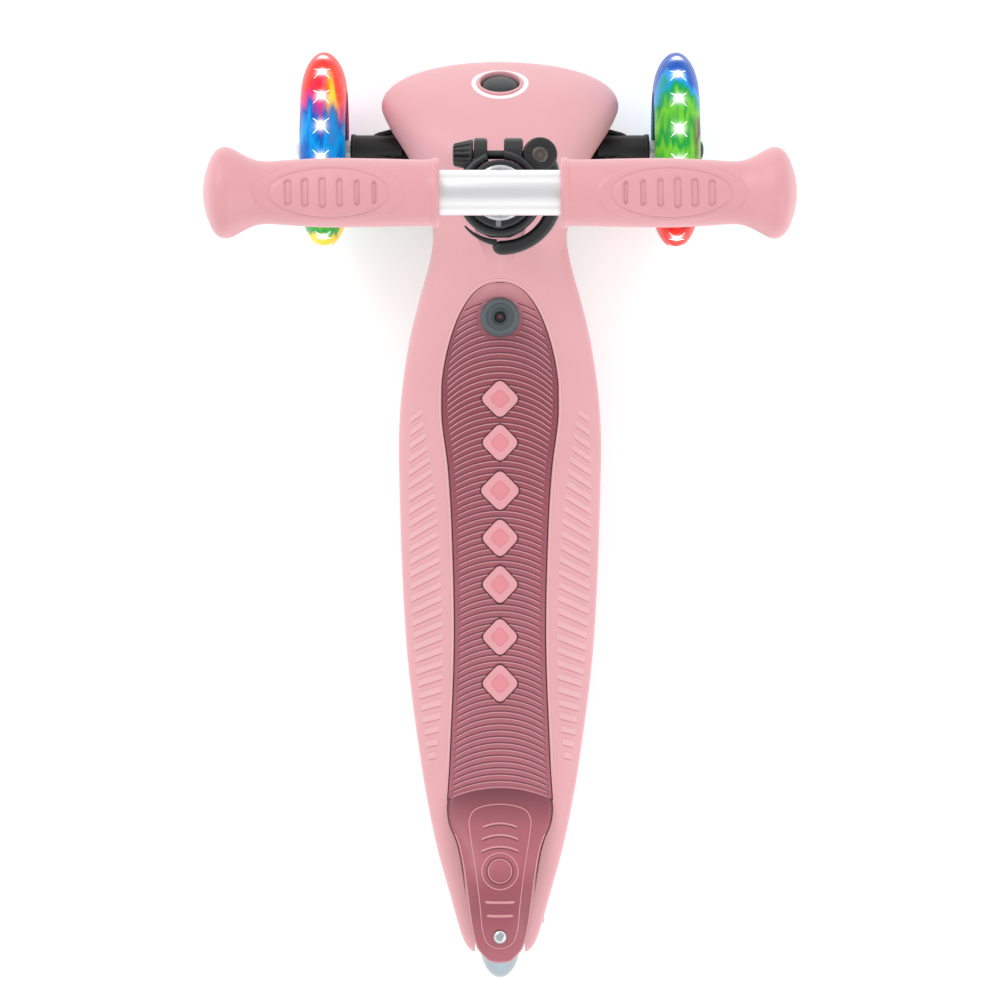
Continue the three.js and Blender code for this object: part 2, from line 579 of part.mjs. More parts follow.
// Where the button's rod meets the pawl.
const push = [
  buttonY - (BUTTON_ROD + GAP) * Math.sin(buttonSlope),
  crown(buttonY) - (BUTTON_ROD + GAP) * Math.cos(buttonSlope),
];
function latchPawl() {
  const across = [Math.cos(buttonSlope), -Math.sin(buttonSlope)]; // along the hood's slope
  const nose = pivotY + HUB_RADIUS + 0.8;
  const outline = [
    [LATCH.y - 5, LATCH.z - 2], [LATCH.y - 1, LATCH.z - 5.5],
    [push[0] - 3 * across[0] - 4, push[1] - 3 * across[1] - 3],
    [push[0] + 3 * across[0], push[1] + 3 * across[1] - 3],
    [push[0] + 3 * across[0], push[1] + 3 * across[1]], [push[0] - 3 * across[0], push[1] - 3 * across[1]],
    [LATCH.y + 6, LATCH.z + 2], [LATCH.y + 2, LATCH.z + 7], [nose + 3, PIVOT_HEIGHT + 2.4],
    [nose, PIVOT_HEIGHT + 2],
    [nose, PIVOT_HEIGHT - 2],
  ];
  return cut(slab("x", outline, -5, 5), rod("x", 2.7, -9, 9, [0, LATCH.y, LATCH.z], 12));
}

function foldButton() {
  const cap = spun("z", [
    [0.01, -1], [6, -1.2], [BUTTON_RADIUS - 1.4, -2.6], [BUTTON_RADIUS, -3.8], [BUTTON_RADIUS, -9],
    [0.01, -9],
  ], 24);
  return facingNose(join(cap, rod("z", 3, -BUTTON_ROD, -8, [0, 0, 0], 12)));
}

// ---------------------------------------------------------------- steering

// side is -1 for the left and 1 for the right. Drawn round the kingpin, in the leaning frame. A peg on
// the end of
// each arm's lever carries the tie rod.
const TIE = { from: 4 + GAP, to: 7 };
const armEnd = TRACK / 2 - FRONT_WHEEL.hubHalf - GAP - 4 - KINGPIN_X; // the housing's outer end
const span = (side, from, to) => [Math.min(side * from, side * to), Math.max(side * from, side * to)];

function steeringArm(side) {
  const web = slab("z", [
    [0, -12.8], [side * 25, -12.6], [side * (armEnd - 14), -9.2], [side * (armEnd - 14), 9.2],
    [side * 25, 12.6],
    [0, 12.8],
  ], -6, 6);
  const boss = rod("z", 12.8, -BOSS_HALF, BOSS_HALF, [0, 0, 0], 24);
  const housing = rod("x", 9.3, ...span(side, 20, armEnd), [0, 0, 0], 24);
  const centre = [0, STEER_LEVER, 0];
  const lever = join(box(-5.5, 5.5, 0, STEER_LEVER, -4, 4), rod("z", 5, -4, 4, centre, 16));
  const peg = join(rod("z", 2.7, 0, TIE.to + 1, centre, 12), rod("z", 4, TIE.to + GAP, TIE.to + 1.5,
    centre, 12, 3.2));
  return cut(
    join(web, boss, housing, lever, peg), rod("z", KINGPIN_RADIUS + RUN, -20, 20, [0, 0, 0], 16),
    rod("x", AXLE_RADIUS + GAP, ...span(side, 27, armEnd + 1), [0, 0, 0], 16),
  );
}

// A rivet, headed at both ends.
const kingpin = () => join(
  rod("z", KINGPIN_RADIUS, -plateTo - 1, plateTo + 1, [0, 0, 0], 16),
  rod("z", 7, plateTo + GAP, plateTo + 3.6, [0, 0, 0], 20, 4.8),
  rod("z", 4.8, -plateTo - 3.6, -plateTo - GAP, [0, 0, 0], 20, 7),
);

// The bar that makes both arms turn together. Its middle post stands between the two centring springs.
function tieRod() {
  const { from, to } = TIE;
  const bar = join(box(-KINGPIN_X, KINGPIN_X, STEER_LEVER - 4.5, STEER_LEVER + 4.5, from, to),
    ...[-1, 1].map((side) => rod("z", 5, from, to, [side * KINGPIN_X, STEER_LEVER, 0], 16)));
  const post = box(-3, 3, STEER_LEVER, springY + 5, -2, to);
  const holes = [-1, 1].map((side) => rod("z", 2.7 + RUN, -12, 12, [side * KINGPIN_X, STEER_LEVER, 0],
    12));
  return cut(join(bar, post), ...holes);
}
const centringSpring = (side) =>
  coil(4.6, 1.3, ...span(side, 3 + 0.9, SPRING_SEAT - 0.9), 5).translate(0, springY, 3);

// ---------------------------------------------------------------- wheels, drawn round their axle along x

function tyre({ radius, width, rimRadius }) {
  const half = width / 2;
  const shares = [0.02, 0.3, 0.55, 0.75, 0.88, 0.965];
  const side = (sign) => shares.map((t) =>
    [THREE.MathUtils.lerp(rimRadius, radius, t), sign * half * (1 - t ** 1.9) ** 0.52]);
  const edge = rimRadius + GAP;
  return spun("x", [
    [edge, -half + 0.8], ...side(-1), [radius, -half * 0.1], [radius, half * 0.1], ...side(1).reverse(),
    [edge, half - 0.8],
  ], WHEEL_SIDES);
}

const WHEEL_SIDES = 32;

// Rim, thin web and hub of one moulding, with a seat for a bearing at each side.
function wheelCore({ width, rimRadius, hubHalf }, windows) {
  const rimHalf = width / 2 - 0.8;
  const [seat, shelf] = [BEARING.outer + 0.05, hubHalf - BEARING.width];
  const body = spun("x", [
    [seat, -hubHalf], [seat + 3, -hubHalf], [seat + 3, -3], [rimRadius - 4, -3],
    [rimRadius - 3.4, -rimHalf],
    [rimRadius, -rimHalf], [rimRadius, rimHalf], [rimRadius - 3.4, rimHalf], [rimRadius - 4, 3],
    [seat + 3, 3],
    [seat + 3, hubHalf], [seat, hubHalf], [seat, shelf], [seat - 2.5, shelf], [seat - 2.5, -shelf],
    [seat, -shelf],
  ], WHEEL_SIDES / 2);
  const middle = (seat + 3 + rimRadius - 4) / 2;
  const holes = Array.from({ length: windows }, (_, i) =>
    rod("x", 5.6, -8, 8, [0, middle, 0], 10).rotateX((i / windows) * 2 * Math.PI));
  return windows ? cut(body, ...holes) : body;
}

const bearing = (from) => ring("x", BEARING.outer, BEARING.inner, from, from + BEARING.width,
  WHEEL_SIDES / 2);

// Ring of light emitting diodes against the rim, under the clear tyre.
const LIGHTS = 6;
function lightRing(side) {
  const outer = FRONT_WHEEL.rimRadius - 4.6;
  const base = ring("x", outer, outer - 3, ...span(side, 3.3, 8), 24);
  const bead = (i) => box(...span(side, 7.5, 9.6), outer - 3, outer - 0.5, -2.5,
    2.5).rotateX((i * 2 * Math.PI) / LIGHTS);
  return join(base, ...Array.from({ length: LIGHTS }, (_, i) => bead(i)));
}

// side gives which way the bolt's head faces.
function frontAxleBolt(side) {
  const out = FRONT_WHEEL.hubHalf + GAP;
  const head = rod("x", 6.5, ...span(side, out, out + 5.2), [0, 0, 0], 20);
  const shank = rod("x", AXLE_RADIUS, ...span(side, -(armEnd + GAP + 4 + FRONT_WHEEL.hubHalf) + 29,
    out + 1), [0, 0, 0], 16);
  return cut(join(head, shank), rod("x", 2.9, ...span(side, out + 2.2, out + 8), [0, 0, 0], 6));
}
const frontSpacer = (side) => ring("x", 6.2, AXLE_RADIUS + GAP,
  ...span(side, -FRONT_WHEEL.hubHalf - GAP - 3.7,
  -FRONT_WHEEL.hubHalf - GAP), 16);

// ---------------------------------------------------------------- rear brake

// Half the brake's width and the height of its middle.
const brakePlan = smooth([
  [rearAxleY - 28.4, 2.5], [rearAxleY - 27.2, 6.6], [rearAxleY - 25, 9.2], [rearAxleY - 22, 12],
  [rearAxleY - 19, 14.1], [rearAxleY - 9.5, 16.9], [rearAxleY + 10, 19.8],
  [rearAxleY + 30, 22.6], [rearAxleY + 44, 25.6], [rearAxleY + 55, 30], [rearAxleY + 63, 31.4],
  [rearAxleY + 69, 31.2],
  [matRearY - 2, 29.5],
]);
const wheelTop = 2 * REAR_WHEEL.radius;
const brakeSpine = smooth([
  [rearAxleY - 28.5, wheelTop - 0.5], [rearAxleY - 22, wheelTop + 3.5], [rearAxleY - 10, wheelTop + 8.5],
  [rearAxleY + 4, wheelTop + 10.5], [rearAxleY + 20, wheelTop + 9],
  [rearAxleY + 38, (wheelTop + DECK_TOP) / 2 + 10],
  [rearAxleY + 54, DECK_TOP + 9], [rearAxleY + 68, DECK_TOP + 4], [matRearY - 2, DECK_TOP + 2.6],
]);
// How far its sides hang below its middle.
const brakeDrop = smooth([[rearAxleY + 36, 5.5], [rearAxleY + 60, 1.6], [matRearY, 1.2]]);

// The brake's shell between its top and its underside, grown all round.
function brakeShell(grow, thickness) {
  const tail = [28.4, 27.2, 25, 22, 18.5].map((d) => rearAxleY - d - grow);
  const rest = steps(rearAxleY - 14 - grow, matRearY - 2 + grow, 14);
  const rings = [...tail, ...rest, matRearY - 2 + grow].map((y) => {
    const half = brakePlan(y) + grow;
    const row = (offset) => [-1, -0.8, -0.45, 0, 0.45, 0.8, 1].map((s) =>
      [s * half, y, brakeSpine(y) - brakeDrop(y) * (s * half / Math.max(half, 18)) ** 4 + offset]);
    return [...row(-thickness - grow), ...row(grow).reverse()];
  });
  return loft(rings);
}
const brakeOutline = (grow) => common(brakeShell(grow, 40), brakeBow(-GAP + grow));

function brake() {
  const front = rod("z", 75 - GAP, 0, 200, [0, matRearY - 75, 0], 64);
  const lug = (side) => slab("x", [
    ...arc(brakePivotY, BRAKE_PIVOT_HEIGHT, 6, 180, 360, 8),
    [brakePivotY + 6, brakeSpine(brakePivotY) - 6],
    [brakePivotY - 6, brakeSpine(brakePivotY) - 2],
  ], ...span(side, 9, 14.6));
  const pinHole = rod("x", 2.7, -40, 40, [0, brakePivotY, BRAKE_PIVOT_HEIGHT], 12);
  const screwHole = rod("z", 2.4, 60, 120, [0, rearAxleY - 12, 0], 12);
  const headSeat = rod("z", 4.6, brakeSpine(rearAxleY - 12) - 1.6, 120, [0, rearAxleY - 12, 0], 16);
  const shell = common(brakeShell(0, BRAKE_THICKNESS), front);
  return cut(join(shell, lug(-1), lug(1)), pinHole, screwHole, headSeat);
}

// The steel strip under the brake that rubs on the tyre, bent to the tyre's curve.
const BRAKE_CLEARANCE = 3.2;
function brakePad() {
  const [inner, outer] = [REAR_WHEEL.radius + BRAKE_CLEARANCE, REAR_WHEEL.radius + BRAKE_CLEARANCE + 1.6];
  const outline = [
    ...arc(rearAxleY, REAR_WHEEL.radius, outer, 76, 108, 6),
    ...arc(rearAxleY, REAR_WHEEL.radius, inner, 108, 76, 6),
  ];
  return cut(slab("x", outline, -8, 8), rod("z", 2.4, 60, 120, [0, rearAxleY - 12, 0], 10));
}

function brakeScrew() {
  const seat = brakeSpine(rearAxleY - 12) - 1.6 + GAP;
  const low = REAR_WHEEL.radius + Math.sqrt((REAR_WHEEL.radius + BRAKE_CLEARANCE) ** 2 - 12 ** 2) + 0.5;
  const centre = [0, rearAxleY - 12, 0];
  return cut(
    join(rod("z", 4.2, seat, seat + 2.2, centre, 20, 3.6), rod("z", 2, low, seat + 1, centre, 10)),
    rod("z", 1.9, seat + 1, seat + 4, centre, 6),
  );
}

// ---------------------------------------------------------------- column, along z from the fold pivot

function columnBase() {
  const hub = rod("x", HUB_RADIUS, -HUB_HALF, HUB_HALF, [0, 0, 0], 28);
  const neck = rod("z", HUB_RADIUS, 0, LOWER_TUBE.from - GAP, [0, 0, 0], 28, LOWER_TUBE.radius);
  const spigot = rod("z", LOWER_TUBE.bore - GAP, 10, LOWER_TUBE.from + 38, [0, 0, 0], 24);
  const notch = box(-5.6, 5.6, HUB_RADIUS - 3.4, HUB_RADIUS + 4, -4, 3).rotateX(-RAKE);
  return cut(
    join(hub, neck, spigot), rod("x", PIVOT_PIN_RADIUS + RUN, -30, 30, [0, 0, 0], 16), notch,
    rod("y", 2.5, -30, 30, [0, 0, LOWER_TUBE.from + 20], 12),
  );
}

const heightHoles = (z) => Array.from({ length: 3 }, (_, i) => z + (i * BAR_TRAVEL) / 2);
const HEIGHT_PIN = { radius: 3.8, z: STEM.from + 20 };

function lowerTube() {
  const holes = heightHoles(HEIGHT_PIN.z).map((z) => rod("y", HEIGHT_PIN.radius + 0.5, 0, 30, [0, 0, z],
    12));
  return cut(
    ring("z", LOWER_TUBE.radius, LOWER_TUBE.bore, LOWER_TUBE.from, LOWER_TUBE.to, 28), ...holes,
    rod("y", 2.5, -30, 30, [0, 0, LOWER_TUBE.from + 20], 12),
  );
}

const tubeScrew = () => {
  const out = LOWER_TUBE.radius + GAP;
  const centre = [0, 0, LOWER_TUBE.from + 20];
  return join(rod("y", 2.1, -LOWER_TUBE.radius - 1, out + 1, centre, 10), rod("y", 4.4, out, out + 2.2,
    centre, 16, 3.4));
};

const BUSH_RADIUS = clampRadius - 4.8;
function tubeBush() {
  const [tube, bore] = [LOWER_TUBE.radius + GAP, STEM.radius + RUN];
  return spun("z", [
    [bore, LOWER_TUBE.to + GAP], [tube, LOWER_TUBE.to + GAP], [tube, CLAMP.from - 3],
    [BUSH_RADIUS, CLAMP.from - 3],
    [BUSH_RADIUS, CLAMP.to + 0.6], [BUSH_RADIUS - 1, CLAMP.to + 1.8], [bore, CLAMP.to + 1.8],
  ], 28);
}

const clampMiddle = (CLAMP.from + CLAMP.to) / 2;
const KNOB_RADIUS = 8.4;
const LEVER = { hub: 9.4, inner: clampRadius + 1.9, outer: clampRadius + 10.2, half: 8 };
const EAR = { left: [-14.1, -6.8], right: [2.1, 12.4], reach: clampRadius + 7 };
function clampCollar() {
  const band = rod("z", clampRadius, CLAMP.from, CLAMP.to, [0, 0, 0], 28);
  const ears = [EAR.left, EAR.right].map((x) => box(...x, 16, EAR.reach, clampMiddle - 9,
    clampMiddle + 9));
  const split = box(EAR.left[1], EAR.right[0], 0, EAR.reach + 1, CLAMP.from - 1, CLAMP.to + 1);
  const boltHole = rod("x", 2.8, -40, 40, [0, clampBoltY, clampMiddle], 12);
  const core = rod("z", BUSH_RADIUS + GAP, CLAMP.from - 1, CLAMP.to + 1, [0, 0, 0], 28);
  const knobSeat = rod("x", KNOB_RADIUS + 0.6, -40, EAR.left[0], [0, clampBoltY, clampMiddle], 20);
  const leverSeat = rod("z", LEVER.hub + GAP, clampMiddle - LEVER.half - 0.9,
    clampMiddle + LEVER.half + 0.9,
    [LEVER_PIVOT_X, clampBoltY, 0], 24);
  return cut(join(band, ...ears), core, split, boltHole, knobSeat, leverSeat);
}

const clampBolt = () => rod("x", 2.4, EAR.left[0] - 9.4, LEVER_PIVOT_X - 4.8,
  [0, clampBoltY, clampMiddle], 12);
const clampKnob = () => cut(
  rod("x", 6.3, EAR.left[0] - 11.4, EAR.left[0] - GAP, [0, clampBoltY, clampMiddle], 12, KNOB_RADIUS),
  rod("x", 2.7, EAR.left[0] - 10, EAR.left[0] + 1, [0, clampBoltY, clampMiddle], 12),
);

// The cam lever wraps round the back of the clamp. Its forked hub turns on an upright pin.
function clampLever() {
  const [from, to] = [clampMiddle - LEVER.half, clampMiddle + LEVER.half];
  const band = slab("z", [...arc(1, 0, LEVER.outer, 44, -104, 20), ...arc(1, 0, LEVER.inner, -108, 30,
    18)], from, to);
  const hub = rod("z", LEVER.hub, from, to, [LEVER_PIVOT_X, clampBoltY, 0], 24);
  const boltWay = [
    box(0, LEVER_PIVOT_X, clampBoltY - 4.2, 40, clampMiddle - 3.2, clampMiddle + 3.2),
    box(LEVER_PIVOT_X - 2, LEVER_PIVOT_X + 7, clampBoltY + 2, 40, clampMiddle - 3.2, clampMiddle + 3.2),
  ];
  return cut(join(band, hub), ...boltWay, rod("z", 4.5, 0, 600, [LEVER_PIVOT_X, clampBoltY, 0], 16));
}
const leverPin = () => rod("z", 4.2, clampMiddle - LEVER.half - 0.6, clampMiddle + LEVER.half + 0.8,
  [LEVER_PIVOT_X, clampBoltY, 0], 16);

// ---------------------------------------------------------------- handlebar

const barEnd = BAR_WIDTH / 2 - 6; // the crossbar's end inside its grip

function handlebar() {
  const stem = rod("z", STEM.radius, STEM.from, columnLength, [0, 0, 0], 28);
  const bar = rod("x", CROSSBAR.radius, -barEnd, barEnd, [0, 0, columnLength], 28);
  return cut(
    join(stem, bar), rod("x", CROSSBAR.bore, -barEnd - 1, barEnd + 1, [0, 0, columnLength], 24),
    rod("z", STEM.bore, STEM.from - 1, columnLength, [0, 0, 0], 24),
    rod("y", HEIGHT_PIN.radius + 0.4, 0, 30, [0, 0, HEIGHT_PIN.z], 12),
  );
}

function grip(side) {
  const bore = CROSSBAR.radius + GAP;
  const end = BAR_WIDTH / 2;
  const outline = [
    [bore, GRIP_START], [GRIP_RADIUS + 1, GRIP_START], [GRIP_RADIUS + 1, GRIP_START + 3],
    [GRIP_RADIUS - 0.6, GRIP_START + 6], [GRIP_RADIUS, GRIP_START + 36],
    [GRIP_RADIUS + 0.3, GRIP_START + 58],
    [GRIP_RADIUS - 1.4, GRIP_START + 86], [GRIP_RADIUS + 1.5, end - 19], [GRIP_RADIUS + 4.6, end - 14],
    [GRIP_RADIUS + 5.6, end - 9.5], [GRIP_RADIUS + 4.6, end - 5], [GRIP_RADIUS, end - 1.6], [8, end],
    [0, end],
    [0, barEnd + GAP], [bore, barEnd + GAP],
  ];
  return spun("x", outline.map(([r, x]) => [r, side * x]), 24).translate(0, 0, columnLength);
}

// The button that springs out through the lower tube's holes. It is drawn pressed in.
const heightButton = () => join(
  rod("y", HEIGHT_PIN.radius, 5, LOWER_TUBE.bore - 1.2, [0, 0, HEIGHT_PIN.z], 12),
  rod("y", 4.6, 4.3, 5.5, [0, 0, HEIGHT_PIN.z], 12),
);
function buttonSpring() {
  const z = HEIGHT_PIN.z;
  const [front, rear, leaf] = [4, -10.2, 0.8];
  return slab("x", [
    [front, z + 6], [front, z - 8], [(front + rear) / 2, z - 15], [rear, z - 8], [rear, z + 6],
    [rear + leaf, z + 6],
    [rear + leaf, z - 7.6], [(front + rear) / 2, z - 13.8], [front - leaf, z - 7.6], [front - leaf, z + 6],
  ], -3, 3);
}

// ---------------------------------------------------------------- assembly

const scooter = new THREE.Group();

add(scooter, "deck", PINK, deck());
add(scooter, "deck_mat", RASPBERRY, mat());
add(scooter, "bumper", GREY_RUBBER, bumper());
add(scooter, "bumper_screw", DARK_STEEL, bumperScrew());
add(scooter, "steering_frame", BLACK, steeringFrame());
PROPS.frame.places.forEach(([x, y]) => {
  add(scooter, "frame_screw_left", STEEL, frameScrew(-x, y));
  add(scooter, "frame_screw_right", STEEL, frameScrew(x, y));
});
add(scooter, "fold_bracket", DARK_STEEL, foldBracket());
add(scooter, "bracket_screw", STEEL, bracketScrew());
add(scooter, "fold_pivot_pin", STEEL, pivotPin());
add(scooter, "fold_pivot_nut", STEEL,
  nut(PIVOT_PIN_RADIUS + 0.2, 7, slot.half, slot.half + 3.6).translate(0, pivotY, PIVOT_HEIGHT));
add(scooter, "latch_pin", STEEL,
  rod("x", 2.3, -HUB_HALF - CHEEK, HUB_HALF + CHEEK, [0, LATCH.y, LATCH.z], 12));
add(scooter, "latch_pawl", STEEL, latchPawl());
add(scooter, "fold_button", BLACK, foldButton());

// The steering lies in a frame that leans with the kingpins.
const steering = new THREE.Group();
steering.position.set(0, frontAxleY, FRONT_WHEEL.radius);
steering.rotation.x = -KINGPIN_TILT;
scooter.add(steering);
add(steering, "tie_rod", STEEL, tieRod());
for (const [side, name] of [[-1, "left"], [1, "right"]]) {
  const corner = new THREE.Group();
  corner.position.x = side * KINGPIN_X;
  steering.add(corner);
  add(steering, `centring_spring_${name}`, STEEL, centringSpring(side));
  add(corner, `kingpin_${name}`, STEEL, kingpin());
  add(corner, `steering_arm_${name}`, BLACK, steeringArm(side));

  const wheel = new THREE.Group();
  wheel.position.set((side * TRACK) / 2, frontAxleY, FRONT_WHEEL.radius);
  scooter.add(wheel);
  const { hubHalf } = FRONT_WHEEL;
  add(wheel, `front_tyre_${name}`, TREAD, tyre(FRONT_WHEEL));
  add(wheel, `front_wheel_core_${name}`, BLACK, wheelCore(FRONT_WHEEL, 6));
  add(wheel, `light_ring_${name}`, CLEAR_TREAD, lightRing(-side));
  add(wheel, `front_bearing_${name}_1`, STEEL, bearing(-hubHalf));
  add(wheel, `front_bearing_${name}_2`, STEEL, bearing(hubHalf - BEARING.width));
  add(wheel, `front_axle_bolt_${name}`, STEEL, frontAxleBolt(side));
  add(wheel, `front_spacer_${name}`, STEEL, frontSpacer(side));
}

const rear = new THREE.Group();
rear.position.set(0, rearAxleY, REAR_WHEEL.radius);
scooter.add(rear);
add(rear, "rear_tyre", CLEAR_TREAD, tyre(REAR_WHEEL));
add(rear, "rear_wheel_core", BLACK, wheelCore(REAR_WHEEL, 0));
add(rear, "rear_bearing_left", STEEL, bearing(-REAR_WHEEL.hubHalf));
add(rear, "rear_bearing_right", STEEL, bearing(REAR_WHEEL.hubHalf - BEARING.width));
add(rear, "rear_axle_bolt", STEEL, join(rod("x", AXLE_RADIUS, -24, 27, [0, 0, 0], 16),
  rod("x", 6.5, -27, -23.5)));
add(rear, "rear_axle_nut", STEEL, nut(AXLE_RADIUS + 0.2, 6.9, 23.5, 27.4));

add(scooter, "brake", RASPBERRY, brake());
add(scooter, "brake_pad", STEEL, brakePad());
add(scooter, "brake_screw", STEEL, brakeScrew());
add(scooter, "brake_pin", STEEL, rod("x", 2.3, -24, 24, [0, brakePivotY, BRAKE_PIVOT_HEIGHT], 12));
add(scooter, "brake_spring", STEEL, coil(4.2, 1.2, -6.5, 6.5, 5).translate(0, brakePivotY,
  BRAKE_PIVOT_HEIGHT));

const column = new THREE.Group();
column.position.set(0, pivotY, PIVOT_HEIGHT);
column.rotation.x = RAKE;
scooter.add(column);
add(column, "column_base", BLACK, columnBase());
add(column, "lower_tube", ALUMINIUM, lowerTube());
add(column, "tube_screw", STEEL, tubeScrew());
add(column, "tube_bush", BLACK, tubeBush());
add(column, "clamp_collar", BLACK, clampCollar());
add(column, "clamp_bolt", STEEL, clampBolt());
add(column, "clamp_knob", BLACK, clampKnob());
add(column, "clamp_lever", BLACK, clampLever());
add(column, "lever_pin", DARK_STEEL, leverPin());
add(column, "handlebar", ALUMINIUM, handlebar());
add(column, "grip_left", PINK_RUBBER, grip(-1));
add(column, "grip_right", PINK_RUBBER, grip(1));
add(column, "height_button", STEEL, heightButton());
add(column, "height_button_spring", STEEL, buttonSpring());

export default scooter;
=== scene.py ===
# The look of a child's folding three-wheeled kick scooter.
# Shapes are worked out in millimetres and made in metres.
import math

import bmesh
import bpy
import numpy as np
from mathutils import Matrix, Vector


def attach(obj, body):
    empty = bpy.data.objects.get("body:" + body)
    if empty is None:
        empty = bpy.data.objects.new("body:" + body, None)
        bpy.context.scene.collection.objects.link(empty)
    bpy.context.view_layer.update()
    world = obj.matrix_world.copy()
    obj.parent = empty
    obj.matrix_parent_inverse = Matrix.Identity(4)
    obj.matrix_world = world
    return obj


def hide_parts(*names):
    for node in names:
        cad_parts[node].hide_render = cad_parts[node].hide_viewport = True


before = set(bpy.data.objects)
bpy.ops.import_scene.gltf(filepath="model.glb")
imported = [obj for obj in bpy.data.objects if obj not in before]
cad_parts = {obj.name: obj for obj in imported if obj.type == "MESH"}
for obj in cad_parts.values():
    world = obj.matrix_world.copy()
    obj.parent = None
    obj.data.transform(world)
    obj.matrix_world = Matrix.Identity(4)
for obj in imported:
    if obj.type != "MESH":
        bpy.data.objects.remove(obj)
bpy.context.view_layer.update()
MM = 0.001
TURN = 2 * math.pi

# ---------------------------------------------------------------- sizes, in millimetres
FRONT_AXLE = Vector((0, 225.5, 60.5))
REAR_AXLE = Vector((0, -246, 40))
PIVOT = Vector((0, 193, 106))
RAKE = math.radians(6)
KINGPIN_TILT = math.radians(25)
KINGPIN_X = 40
TRACK = 217
BUMPER_Y = 120
MAT_FRONT, MAT_REAR = 141, -168
MAT_HALF = 35.3
MAT_NARROWS = 78
MAT_TIP = 140.97
MAT_REAR_BOW = 75
TAIL = -269
BRAKE_PIN = (0, -188, 60)
BRAKE_RING_Y = -218.3
BRAKE_SCREW_Y = -258
NOSE_START, NOSE = 251, 282.5
HOOD_TOP_Y = 215
BUTTON_Y = 264.2
BAR_LENGTH = (660 - 106) / math.cos(RAKE)
CLAMP_LOW, CLAMP_HIGH = 299, 326
CLAMP_MID = (CLAMP_LOW + CLAMP_HIGH) / 2
CLAMP_BOLT_Y = 20.9
CLAMP_BOLT = (0, CLAMP_BOLT_Y, CLAMP_MID)
LEVER_PIN = (21.4, CLAMP_BOLT_Y)
TUBE_RADIUS, STEM_RADIUS, BAR_RADIUS = 16, 12.5, 11
GRIP_START = 29.4

COLUMN = Matrix.Translation(PIVOT) @ Matrix.Rotation(RAKE, 4, "X")
LEAN = Matrix.Translation(FRONT_AXLE) @ Matrix.Rotation(-KINGPIN_TILT, 4, "X")


# ---------------------------------------------------------------- materials
def linear(r, g, b):
    def one(c):
        c /= 255
        return c / 12.92 if c <= 0.04045 else ((c + 0.055) / 1.055) ** 2.4

    return (one(r), one(g), one(b), 1)


class Nodes:
    """A short way to write a node tree."""

    def __init__(self, name):
        self.material = bpy.data.materials.new(name)
        self.material.use_nodes = True
        self.tree = self.material.node_tree
        self.shader = self.tree.nodes["Principled BSDF"]

    def new(self, kind, **values):
        node = self.tree.nodes.new(kind)
        for key, value in values.items():
            if hasattr(node, key):
                setattr(node, key, value)
            else:
                node.inputs[key.replace("_", " ")].default_value = value
        return node

    def link(self, a, b):
        self.tree.links.new(a, b)

    def noise(self, scale, detail=3, stretch=(1, 1, 1)):
        where = self.new("ShaderNodeTexCoord")
        mapping = self.new("ShaderNodeMapping")
        mapping.inputs["Scale"].default_value = stretch
        self.link(where.outputs["Object"], mapping.inputs["Vector"])
        noise = self.new("ShaderNodeTexNoise")
        noise.inputs["Scale"].default_value = scale
        noise.inputs["Detail"].default_value = detail
        self.link(mapping.outputs[0], noise.inputs["Vector"])
        return noise.outputs["Fac"]

    def ramp(self, fac, stops):
        ramp = self.new("ShaderNodeValToRGB")
        elements = ramp.color_ramp.elements
        while len(elements) > 1:
            elements.remove(elements[-1])
        elements[0].position, elements[0].color = stops[0]
        for place, colour in stops[1:]:
            elements.new(place).color = colour
        self.link(fac, ramp.inputs[0])
        return ramp.outputs[0]

    def math(self, operation, a, b=0.0, c=0.0):
        node = self.new("ShaderNodeMath", operation=operation)
        for i, value in enumerate((a, b, c)):
            if isinstance(value, (int, float)):
                node.inputs[i].default_value = value
            else:
                self.link(value, node.inputs[i])
        return node.outputs[0]

    def set(self, **values):
        for key, value in values.items():
            self.shader.inputs[key.replace("_", " ")].default_value = value

    def between(self, fac, low, high):
        return self.math("MULTIPLY_ADD", fac, high - low, low)

    def bump(self, height, strength, distance):
        bump = self.new("ShaderNodeBump", Strength=strength, Distance=distance)
        self.link(height, bump.inputs["Height"])
        self.link(bump.outputs[0], self.shader.inputs["Normal"])

    def mix(self, fac, a, b, blend="MIX"):
        node = self.new("ShaderNodeMix", data_type="RGBA", blend_type=blend)
        for socket, value in ((node.inputs[0], fac), (node.inputs[6], a), (node.inputs[7], b)):
            if isinstance(value, (int, float, tuple)):
                socket.default_value = value
            else:
                self.link(value, socket)
        return node.outputs[2]


def shade(colour, factor):
    return tuple(min(c * factor, 1) for c in colour[:3]) + (1,)


